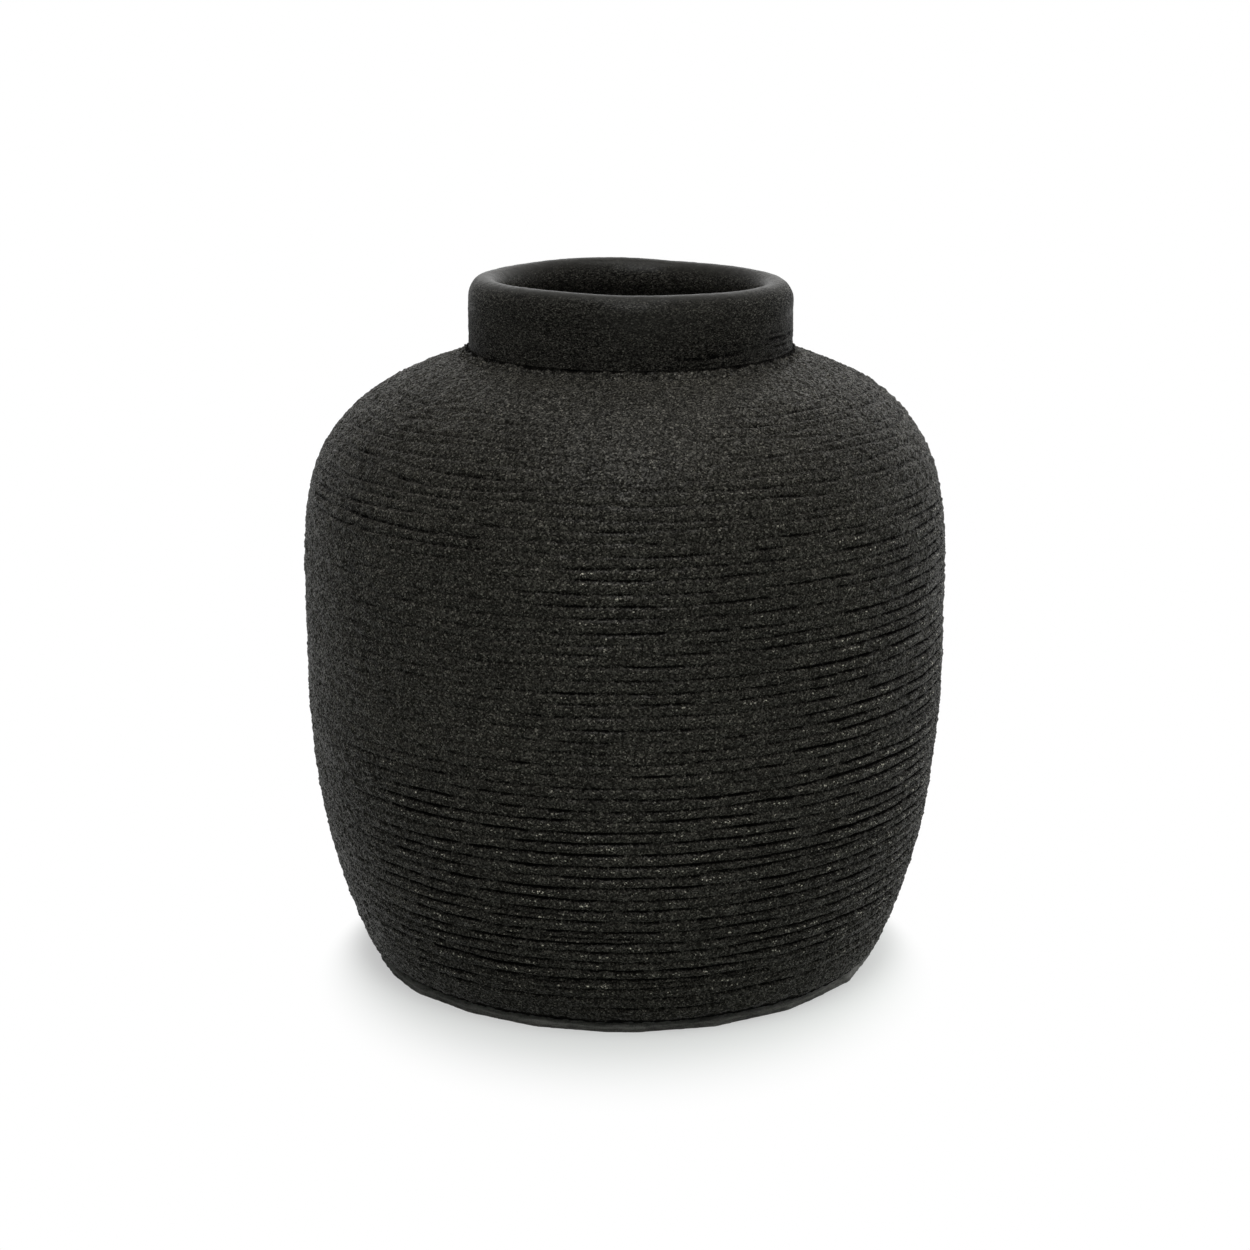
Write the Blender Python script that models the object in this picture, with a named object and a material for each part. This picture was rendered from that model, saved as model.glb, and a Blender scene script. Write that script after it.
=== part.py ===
"""Black clay jar, hand built in sections, on a felt base pad.

The jar is a floor slab, three wall courses, a domed shoulder, a neck collar and
a rolled rim. Each section is let into the next by a stepped lap that a film of
slip fills, and a soft coil is pressed into two of the corners. The foot is
stuck to a felt disc that was cut out by hand. Units are metres, +Z is up, and
the origin is the middle of the pad's underside.
"""

import math

import bmesh
import bpy
import numpy as np

# Felt pad and its adhesive film
PAD_RADIUS = 0.1135
PAD_THICKNESS = 0.0030
PAD_SHIFT = -0.0006
PAD_CUTS = 26
PAD_RADIUS_WANDER = 0.0008
PAD_ANGLE_WANDER = 0.3
PAD_SEED = 11
FILM_THICKNESS = 0.0004
FILM_MARGIN = 0.0030

# Outside of the jar
FOOT_RADIUS = 0.1156
HEEL_ROUND = 0.0055
BELLY_RADIUS = 0.1407
BELLY_HEIGHT = 0.1468
NECK_RADIUS = 0.0706
NECK_BASE_HEIGHT = 0.2709
NECK_HEIGHT = 0.0321
FOOT_FULLNESS = 2.485
SHOULDER_FULLNESS = 4.66

# Clay sections
WALL = 0.0105
FLOOR_THICKNESS = 0.0130
SHOULDER_HEIGHT = 0.0600
WALL_COURSES = ("lower_wall", "belly_wall", "upper_wall")
NECK_WALL = 0.0125
NECK_SEAT = 0.0030
RIM_WIDTH = 0.0153
RIM_CROWN = 0.0095
RIM_SKIRT = 0.0045
LAP = 0.0040

# Soft coils pressed into the corners: leg, and how far the face swells or sinks
NECK_COIL = 0.0036
NECK_COIL_SWELL = 0.0022
NECK_COIL_LIFT = 0.00035
FLOOR_COIL = 0.0070
FLOOR_COIL_SINK = 0.0028

# How the wet jar settled under the hand
NECK_OFFSET = 0.0024
RIM_TILT = math.radians(0.85)

# Slip film in a joint, and the gap at a resting face
SLIP = 0.0003

# Fineness of the turned shapes
SEGMENTS = 60
COURSE_STEPS = 5
SHOULDER_STEPS = 9
ROUND_STEPS = 5
CROWN_STEPS = 12
SMOOTH_ANGLE = math.radians(38)
MERGE_DISTANCE = 0.000002

# Heights that follow from the sizes above
FILM_BASE = PAD_THICKNESS + SLIP
FOOT_HEIGHT = FILM_BASE + FILM_THICKNESS + SLIP
FLOOR_TOP = FOOT_HEIGHT + FLOOR_THICKNESS
FLOOR_SEAM = FLOOR_TOP - LAP + SLIP / 2
SHOULDER_SEAM = NECK_BASE_HEIGHT - SHOULDER_HEIGHT
NECK_SEAT_HEIGHT = NECK_BASE_HEIGHT - NECK_SEAT
RIM_TOP = NECK_BASE_HEIGHT + NECK_HEIGHT
RIM_SPRING = RIM_TOP - RIM_CROWN
RIM_SEAM = RIM_SPRING - RIM_SKIRT
NECK_INSIDE = NECK_RADIUS - NECK_WALL

# Reach of the two half curves above and below the belly
RISE = (NECK_BASE_HEIGHT - BELLY_HEIGHT) / (
    1 - (NECK_RADIUS / BELLY_RADIUS) ** 2
) ** (1 / SHOULDER_FULLNESS)
DROP = (BELLY_HEIGHT - FOOT_HEIGHT) / (
    1 - (FOOT_RADIUS / BELLY_RADIUS) ** 2
) ** (1 / FOOT_FULLNESS)

# Finishes: colour and roughness
WALL_CLAY = ((0.022, 0.021, 0.019), 0.85)
NECK_CLAY = ((0.024, 0.023, 0.021), 0.80)
RIM_CLAY = ((0.028, 0.027, 0.025), 0.65)
FELT = ((0.050, 0.049, 0.046), 0.95)
FILM = ((0.55, 0.53, 0.47), 0.45)


def wall_radius(height, inset):
    """Radius of the jar's wall at a height, inset from its outside."""
    if height >= BELLY_HEIGHT:
        share = (height - BELLY_HEIGHT) / (RISE - inset)
        fullness = SHOULDER_FULLNESS
    else:
        share = (BELLY_HEIGHT - height) / (DROP - inset)
        fullness = FOOT_FULLNESS
    return (BELLY_RADIUS - inset) * math.sqrt(1 - share**fullness)


def shoulder_height(radius, inset):
    """Height of the shoulder at a radius, inset from its outside."""
    flat = 1 - (radius / (BELLY_RADIUS - inset)) ** 2
    return BELLY_HEIGHT + (RISE - inset) * flat ** (1 / SHOULDER_FULLNESS)


def wall_curve(start, end, inset, steps=COURSE_STEPS):
    """Points of the wall between two heights."""
    return [(wall_radius(z, inset), z) for z in np.linspace(start, end, steps)]


def shoulder_curve(start_radius, end_radius, inset):
    """Points of the shoulder between two radii, closer where it bends most."""
    reach = BELLY_RADIUS - inset
    turns = np.linspace(
        math.acos(start_radius / reach), math.acos(end_radius / reach), SHOULDER_STEPS
    )
    radii = [reach * math.cos(turn) for turn in turns]
    return [(radius, shoulder_height(radius, inset)) for radius in radii]


def lap_below(seam):
    """Inner and outer height where a section's underside starts on a seam."""
    return seam + LAP + SLIP / 2, seam + SLIP / 2


def lap_above(seam):
    """Outer and inner height where a section's top ends at a seam."""
    return seam - SLIP / 2, seam + LAP - SLIP / 2


def stepped_underside(seam):
    """Underside of a wall section, from its inner face to its outer face."""
    inner, outer = lap_below(seam)
    middle = (WALL - SLIP) / 2
    return [(wall_radius(inner, middle), inner), (wall_radius(outer, middle), outer)]


def stepped_top(seam):
    """Top of a wall section, from its outer face to its inner face."""
    outer, inner = lap_above(seam)
    middle = (WALL + SLIP) / 2
    return [(wall_radius(outer, middle), outer), (wall_radius(inner, middle), inner)]


def floor_outline():
    """Half section of the floor slab, from the axis out and back."""
    spread = wall_radius(FOOT_HEIGHT + HEEL_ROUND, 0) - wall_radius(FOOT_HEIGHT, 0)
    lean = math.atan(spread / HEEL_ROUND)
    heel_end = FOOT_HEIGHT + HEEL_ROUND * (1 - math.sin(lean))
    centre = wall_radius(heel_end, 0) - HEEL_ROUND * math.cos(lean)
    heel = [
        (
            centre + HEEL_ROUND * math.cos(turn),
            FOOT_HEIGHT + HEEL_ROUND * (1 + math.sin(turn)),
        )
        for turn in np.linspace(-math.pi / 2, -lean, ROUND_STEPS)
    ]
    edge = lap_above(FLOOR_SEAM)[0]
    return [
        (0, FOOT_HEIGHT),
        *heel,
        (wall_radius(edge, 0), edge),
        *stepped_top(FLOOR_SEAM),
        (0, FLOOR_TOP),
    ]


def course_outline(seam_below, seam_above):
    """Section of one wall course between two seams."""
    inner_base, outer_base = lap_below(seam_below)
    outer_top, inner_top = lap_above(seam_above)
    return [
        *wall_curve(outer_base, outer_top, 0),
        *stepped_top(seam_above),
        *wall_curve(inner_top, inner_base, WALL),
        *stepped_underside(seam_below),
    ]


def shoulder_outline():
    """Section of the shoulder, with the sunk seat that takes the neck."""
    inner_base, outer_base = lap_below(SHOULDER_SEAM)
    mouth = NECK_RADIUS + SLIP
    return [
        *shoulder_curve(wall_radius(outer_base, 0), mouth, 0),
        (mouth, NECK_SEAT_HEIGHT),
        (NECK_INSIDE, NECK_SEAT_HEIGHT),
        *shoulder_curve(NECK_INSIDE, wall_radius(inner_base, WALL), WALL),
        *stepped_underside(SHOULDER_SEAM),
    ]


def collar_outline():
    """Section of the straight neck, stepped on top for the rim."""
    outer_top, inner_top = lap_above(RIM_SEAM)
    middle = NECK_RADIUS - (NECK_WALL + SLIP) / 2
    base = NECK_SEAT_HEIGHT + SLIP
    return [
        (NECK_RADIUS, base),
        (NECK_RADIUS, outer_top),
        (middle, outer_top),
        (middle, inner_top),
        (NECK_INSIDE, inner_top),
        (NECK_INSIDE, base),
    ]


def rim_outline():
    """Section of the rolled rim, an oval crown over a stepped underside."""
    inner_base, outer_base = lap_below(RIM_SEAM)
    half = RIM_WIDTH / 2
    centre = NECK_RADIUS - half
    middle = NECK_RADIUS - (NECK_WALL - SLIP) / 2
    crown = [
        (centre + half * math.cos(turn), RIM_SPRING + RIM_CROWN * math.sin(turn))
        for turn in np.linspace(0, math.pi, CROWN_STEPS)
    ]
    return [
        (NECK_RADIUS, outer_base),
        *crown,
        (NECK_INSIDE, inner_base),
        (middle, inner_base),
        (middle, outer_base),
    ]


def neck_coil_outline():
    """Section of the coil in the corner between neck and shoulder."""
    corner = NECK_RADIUS + SLIP
    toe = corner + NECK_COIL
    base = shoulder_height(corner, 0) + NECK_COIL_LIFT
    return [
        (toe, shoulder_height(toe, 0) + NECK_COIL_LIFT),
        (corner + NECK_COIL_SWELL, base + NECK_COIL_SWELL),
        (corner, base + NECK_COIL),
        (corner, base),
    ]


def floor_coil_outline():
    """Section of the coil in the inside corner between floor and wall."""
    base = FLOOR_TOP + SLIP
    head = base + FLOOR_COIL
    foot = wall_radius(base, WALL) - SLIP
    return [
        (foot, base),
        (wall_radius(head, WALL) - SLIP, head),
        (foot - FLOOR_COIL_SINK, base + FLOOR_COIL_SINK),
        (foot - FLOOR_COIL, base),
    ]


def film_outline():
    """Half section of the adhesive film, from the axis out and back."""
    edge = FOOT_RADIUS - HEEL_ROUND - FILM_MARGIN
    top = FILM_BASE + FILM_THICKNESS
    return [(0, FILM_BASE), (edge, FILM_BASE), (edge, top), (0, top)]


def smooth_share(value, start, end):
    """Share of the way from start to end, easing in and out."""
    share = min(max((value - start) / (end - start), 0), 1)
    return share * share * (3 - 2 * share)


def settle(point):
    """Move a point of the true jar to where the wet clay settled."""
    point.x += NECK_OFFSET * smooth_share(point.z, SHOULDER_SEAM, NECK_BASE_HEIGHT)
    leaning = smooth_share(point.z, NECK_BASE_HEIGHT, RIM_SPRING)
    point.z -= math.tan(RIM_TILT) * leaning * (point.x - NECK_OFFSET)


def clay_or_felt(name, finish):
    """Material of one piece, from its colour and roughness."""
    colour, roughness = finish
    material = bpy.data.materials.new(name)
    material.use_nodes = True
    shader = material.node_tree.nodes["Principled BSDF"]
    shader.inputs["Base Color"].default_value = (*colour, 1)
    shader.inputs["Roughness"].default_value = roughness
    shader.inputs["Metallic"].default_value = 0
    return material


def add_piece(name, shape, origin, parent, finish):
    """Turn a mesh in the jar's frame into a named piece with its own origin."""
    bmesh.ops.translate(shape, verts=shape.verts, vec=[-value for value in origin])
    bmesh.ops.recalc_face_normals(shape, faces=shape.faces)
    mesh = bpy.data.meshes.new(name)
    shape.to_mesh(mesh)
    shape.free()
    mesh.shade_smooth()
    mesh.set_sharp_from_angle(angle=SMOOTH_ANGLE)
    mesh.materials.append(clay_or_felt(name, finish))
    piece = bpy.data.objects.new(name, mesh)
    piece.location = origin
    piece.parent = parent
    bpy.context.scene.collection.objects.link(piece)


def turned(name, outline, parent, finish):
    """Spin an outline of radius and height points round the jar's axis."""
    shape = bmesh.new()
    points = [shape.verts.new((radius, 0, height)) for radius, height in outline]
    on_axis = outline[0][0] == 0 and outline[-1][0] == 0
    pairs = list(zip(points, points[1:]))
    if not on_axis:
        pairs.append((points[-1], points[0]))
    edges = [shape.edges.new(pair) for pair in pairs]
    bmesh.ops.spin(
        shape,
        geom=points + edges,
        cent=(0, 0, 0),
        axis=(0, 0, 1),
        angle=2 * math.pi,
        steps=SEGMENTS,
        use_merge=True,
    )
    bmesh.ops.remove_doubles(shape, verts=shape.verts, dist=MERGE_DISTANCE)
    for vert in shape.verts:
        settle(vert.co)
    base = min(height for _, height in outline)
    add_piece(name, shape, (0, 0, base), parent, finish)


def cut_pad(name, parent, finish):
    """Felt disc whose edge is a run of straight scissor cuts."""
    wander = np.random.default_rng(PAD_SEED)
    pitch = 2 * math.pi / PAD_CUTS
    shape = bmesh.new()
    corners = []
    for cut in range(PAD_CUTS):
        turn = pitch * (cut + PAD_ANGLE_WANDER * wander.uniform(-1, 1))
        radius = PAD_RADIUS + PAD_RADIUS_WANDER * wander.uniform(-1, 1)
        place = (PAD_SHIFT + radius * math.cos(turn), radius * math.sin(turn), 0)
        corners.append(shape.verts.new(place))
    underside = shape.faces.new(corners)
    raised = bmesh.ops.extrude_face_region(shape, geom=[underside])["geom"]
    top = [item for item in raised if isinstance(item, bmesh.types.BMVert)]
    bmesh.ops.translate(shape, verts=top, vec=(0, 0, PAD_THICKNESS))
    add_piece(name, shape, (PAD_SHIFT, 0, 0), parent, finish)


def clear_scene():
    """Remove whatever the open file holds."""
    for item in list(bpy.data.objects):
        bpy.data.objects.remove(item, do_unlink=True)


def main():
    """Build the jar from its pad up to its rim."""
    clear_scene()
    jar = bpy.data.objects.new("jar", None)
    bpy.context.scene.collection.objects.link(jar)

    cut_pad("base_pad", jar, FELT)
    turned("pad_adhesive", film_outline(), jar, FILM)

    turned("floor_slab", floor_outline(), jar, WALL_CLAY)
    turned("floor_seam_coil", floor_coil_outline(), jar, WALL_CLAY)
    seams = np.linspace(FLOOR_SEAM, SHOULDER_SEAM, len(WALL_COURSES) + 1)
    for name, seam_below, seam_above in zip(WALL_COURSES, seams, seams[1:]):
        turned(name, course_outline(seam_below, seam_above), jar, WALL_CLAY)
    turned("shoulder", shoulder_outline(), jar, WALL_CLAY)

    turned("neck_seam_coil", neck_coil_outline(), jar, NECK_CLAY)
    turned("neck_collar", collar_outline(), jar, NECK_CLAY)
    turned("rim_roll", rim_outline(), jar, RIM_CLAY)


main()
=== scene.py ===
"""Looks of a black clay jar on a felt pad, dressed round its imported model.

The jar's outside is one combed, grainy skin that is shared out among the potter's
sections, so that a section meets the next along one row of points. Every mesh is a
closed shape turned from rings of points. Units are metres, +Z is up, and azimuths
are measured from the front (-Y), with the right-hand side at +90 degrees.
"""

import logging
import math
from abc import ABC, abstractmethod
from dataclasses import dataclass, field, replace
from enum import Enum
from typing import Any, Optional, Sequence, Union

import bpy
import numpy as np
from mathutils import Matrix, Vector


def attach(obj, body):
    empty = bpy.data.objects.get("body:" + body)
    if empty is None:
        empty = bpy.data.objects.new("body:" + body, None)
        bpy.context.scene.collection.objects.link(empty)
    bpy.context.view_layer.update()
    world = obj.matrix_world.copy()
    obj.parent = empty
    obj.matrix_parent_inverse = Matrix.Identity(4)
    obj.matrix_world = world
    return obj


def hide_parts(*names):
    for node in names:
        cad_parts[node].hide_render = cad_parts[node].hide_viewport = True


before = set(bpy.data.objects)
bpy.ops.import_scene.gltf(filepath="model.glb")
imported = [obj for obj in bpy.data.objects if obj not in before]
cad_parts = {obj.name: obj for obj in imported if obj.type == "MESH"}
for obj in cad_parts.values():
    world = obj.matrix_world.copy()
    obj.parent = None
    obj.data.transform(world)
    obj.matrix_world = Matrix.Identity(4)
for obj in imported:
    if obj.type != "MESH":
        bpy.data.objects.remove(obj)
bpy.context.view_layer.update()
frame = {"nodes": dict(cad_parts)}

LOG = logging.getLogger("clay_jar")
BODY = "root"

# Fineness of the turned meshes
COLUMNS = 720
SKIN_STEP = 0.00055
SECTION_ROWS = 122
PROFILE_SAMPLES = 1500
INSIDE_ROWS = 6

# What the meshes store for the finishes and the bake
BAKE_MAP = "OFBake"
# Painted light for each point of the clay: above 0 painted shade in lines, ribs, the neck corner and
# the heel by the pad; below 0 painted highlight on lips and raised crumbs
PAINTED_LIGHT = "painted_light"
# How far the clay is wiped smooth, and on the felt pad the painted highlight along its cut edge
WIPED_AND_LIT = "wiped_and_lit"
PAINTED_LIGHT_LIMITS = (-0.6, 1.3)
INSIDE_SHARE = 0.35
POLE_MARGIN = 0.03

# Sockets of a Mix node that blends two colours
MIX_FIRST, MIX_SECOND, MIX_RESULT = 6, 7, 2

# Noise in the clay and in the shaders
LUMP_SPREAD = 2.6
NOISE_MIDDLE = 0.5

Ring = np.ndarray
Span = tuple[float, float]
Outline = list[Span]
Colour = tuple[float, float, float]
Place = tuple[float, float, float]


class Slot(Enum):
    """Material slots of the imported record."""

    WALL = "clay_wall"
    NECK = "clay_neck"
    RIM = "clay_rim"
    FELT = "felt"
    FILM = "film"


def eased(value: np.ndarray, start: float, end: float) -> np.ndarray:
    """Share of the way from start to end, easing in and out.

    Args:
        value: Where to read the share.
        start: Value at which the share is 0.
        end: Value at which the share is 1.

    Returns:
        Shares from 0 to 1, in the shape of value.
    """
    share = np.clip((np.asarray(value, float) - start) / (end - start), 0, 1)
    return share * share * (3 - 2 * share)


def within(value: np.ndarray, span: Span, soft: float) -> np.ndarray:
    """How far a value is inside a span, easing over both of its ends.

    Args:
        value: Where to read the share.
        span: Ends of the span, where the share is a half.
        soft: Distance to either side of an end over which the share eases.

    Returns:
        Shares from 0 to 1, in the shape of value.
    """
    low, high = span
    return eased(value, low - soft, low + soft) * (1 - eased(value, high - soft, high + soft))


def turns() -> np.ndarray:
    """Angle of each column round the axis, starting at the back."""
    return math.pi / 2 + 2 * math.pi * np.arange(COLUMNS) / COLUMNS


def azimuths() -> np.ndarray:
    """Azimuth of each column in degrees, 0 at the front and 90 at the right."""
    return (np.degrees(turns()) + 90 + 180) % 360 - 180


class Wire:
    """One output of a shader tree, on which arithmetic adds Math nodes."""

    def __init__(self, graph: "NodeGraph", socket: bpy.types.NodeSocket) -> None:
        """Hold the socket and the tree that it belongs to."""
        self.graph = graph
        self.socket = socket

    def sibling(self, output: Union[int, str]) -> "Wire":
        """Another output of the same node."""
        return Wire(self.graph, self.socket.node.outputs[output])

    def _math(self, operation: str, first: "Value", second: "Value") -> "Wire":
        """Add one Math node on two values."""
        return self.graph.add("ShaderNodeMath", {"operation": operation}, {0: first, 1: second})

    def __add__(self, other: "Value") -> "Wire":
        """This plus a value."""
        return self._math("ADD", self, other)

    def __radd__(self, other: "Value") -> "Wire":
        """A value plus this."""
        return self._math("ADD", other, self)

    def __sub__(self, other: "Value") -> "Wire":
        """This less a value."""
        return self._math("SUBTRACT", self, other)

    def __rsub__(self, other: "Value") -> "Wire":
        """A value less this."""
        return self._math("SUBTRACT", other, self)

    def __mul__(self, other: "Value") -> "Wire":
        """This times a value."""
        return self._math("MULTIPLY", self, other)

    def __rmul__(self, other: "Value") -> "Wire":
        """A value times this."""
        return self._math("MULTIPLY", other, self)

    def __truediv__(self, other: "Value") -> "Wire":
        """This divided by a value."""
        return self._math("DIVIDE", self, other)

    def __gt__(self, other: "Value") -> "Wire":
        """1 where this is more than a value, and 0 elsewhere."""
        return self._math("GREATER_THAN", self, other)

    def __lt__(self, other: "Value") -> "Wire":
        """1 where this is less than a value, and 0 elsewhere."""
        return self._math("LESS_THAN", self, other)

    def at_least(self, other: "Value") -> "Wire":
        """The larger of this and a value."""
        return self._math("MAXIMUM", self, other)


Value = Union[float, Wire]


class NodeGraph:
    """A shader tree that is written as Python expressions."""

    def __init__(self, tree: bpy.types.NodeTree) -> None:
        """Empty the tree that the nodes go into."""
        self.tree = tree
        self.tree.nodes.clear()

    def add(
        self,
        kind: str,
        settings: dict[str, Any],
        sockets: dict[Union[int, str], Any],
        output: Union[int, str] = 0,
    ) -> Wire:
        """Add one node.

        Args:
            kind: Type of the node.
            settings: Its own settings, set before its sockets.
            sockets: A value or a wire for each input that is named or numbered.
            output: Which output to return.

        Returns:
            The chosen output.
        """
        node = self.tree.nodes.new(kind)
        for name, value in settings.items():
            setattr(node, name, value)
        for name, value in sockets.items():
            if isinstance(value, Wire):
                self.tree.links.new(value.socket, node.inputs[name])
            else:
                node.inputs[name].default_value = value
        return Wire(self, node.outputs[output])

    def end(self, kind: str, sockets: dict[str, Wire]) -> None:
        """Add the output node of the tree.

        Args:
            kind: Type of the output node.
            sockets: The wires that it takes.
        """
        node = self.tree.nodes.new(kind)
        for name, wire in sockets.items():
            self.tree.links.new(wire.socket, node.inputs[name])

    def between(self, share: Value, first: Any, second: Any) -> Wire:
        """Blend two colours.

        Args:
            share: 0 for the first colour and 1 for the second.
            first: Colour or wire.
            second: Colour or wire.

        Returns:
            The blended colour.
        """
        settings = {"data_type": "RGBA", "clamp_factor": True}
        sockets = {0: share, MIX_FIRST: first, MIX_SECOND: second}
        for number in (MIX_FIRST, MIX_SECOND):
            if not isinstance(sockets[number], Wire):
                sockets[number] = (*sockets[number], 1)
        return self.add("ShaderNodeMix", settings, sockets, MIX_RESULT)

    def vectors(
        self, operation: str, first: Wire, second: Place, output: Union[int, str] = 0
    ) -> Wire:
        """Add one Vector Math node.

        Args:
            operation: What the node does.
            first: Wire of the first vector.
            second: The second vector.
            output: Which output to return.

        Returns:
            The chosen output.
        """
        sockets = {0: first, 1: second}
        return self.add("ShaderNodeVectorMath", {"operation": operation}, sockets, output)

    def scaled(self, colour: Wire, amount: Value) -> Wire:
        """A colour times a value."""
        settings = {"operation": "SCALE"}
        return self.add("ShaderNodeVectorMath", settings, {"Vector": colour, "Scale": amount})

    def ranged(
        self, value: Wire, low: float, high: float, start: float = 0.0, end: float = 1.0
    ) -> Wire:
        """Map a value from one range to another, easing at both ends.

        Args:
            value: What to map.
            low: Value that gives start.
            high: Value that gives end.
            start: Result at low and below.
            end: Result at high and above.

        Returns:
            The mapped value.
        """
        sockets = {0: value, 1: low, 2: high, 3: start, 4: end}
        return self.add("ShaderNodeMapRange", {"interpolation_type": "SMOOTHSTEP"}, sockets)

    def place(self) -> Wire:
        """Place on the piece, in its own frame."""
        return self.add("ShaderNodeTexCoord", {}, {}, "Object")

    def stored(self, name: str) -> Wire:
        """Value that the mesh stores for each point."""
        return self.add("ShaderNodeAttribute", {"attribute_name": name}, {}, "Fac")

    def bumped(
        self, height: Wire, depth: float, strength: float, under: Optional[Wire] = None
    ) -> Wire:
        """Relief that only the light sees.

        Args:
            height: Height of the relief.
            depth: Distance that a height of 1 stands for.
            strength: How much of the relief shows.
            under: Normal of a coarser relief below this one.

        Returns:
            The bumped normal.
        """
        sockets = {"Strength": strength, "Distance": depth, "Height": height}
        if under is not None:
            sockets["Normal"] = under
        return self.add("ShaderNodeBump", {}, sockets)

    def noise(self, place: Wire, scale: float, detail: float) -> Wire:
        """Noise from 0 to 1, with lumps of about 1 / scale metres."""
        sockets = {"Vector": place, "Scale": scale, "Detail": detail}
        return self.add("ShaderNodeTexNoise", {}, sockets, "Fac")

    def cells(self, place: Wire, scale: float) -> tuple[Wire, Wire]:
        """Rounded grains packed together.

        Args:
            place: Where to read them.
            scale: Grains to a metre.

        Returns:
            Distance from the middle of a grain, and a random value for each grain.
        """
        distance = self.add("ShaderNodeTexVoronoi", {}, {"Vector": place, "Scale": scale}, "Distance")
        chance = self.add("ShaderNodeSeparateColor", {}, {0: distance.sibling("Color")})
        return distance, chance


class Finish(ABC):
    """A surface finish: a name, and what goes into one Principled shader."""

    name: str

    @abstractmethod
    def sockets(self, graph: NodeGraph) -> dict[str, Any]:
        """Add what the finish is made of.

        Args:
            graph: Tree to add the nodes to.

        Returns:
            A value or a wire for each input of the Principled shader.
        """

    def material(self) -> bpy.types.Material:
        """Make the finish's material.

        Returns:
            The new material.
        """
        material = bpy.data.materials.new(self.name)
        material.use_nodes = True
        graph = NodeGraph(material.node_tree)
        shader = graph.add("ShaderNodeBsdfPrincipled", {}, self.sockets(graph))
        graph.end("ShaderNodeOutputMaterial", {"Surface": shader})
        return material


@dataclass(frozen=True)
class ClayMarks:
    """Wires that say what lies at each place on the clay."""

    place: Wire
    from_middle: Wire
    chance: Wire
    dust: Wire
    lumps: Wire
    patches: Wire
    smears: Wire
    painted_light: Wire
    wiped_and_lit: Wire
    line: Wire


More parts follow.
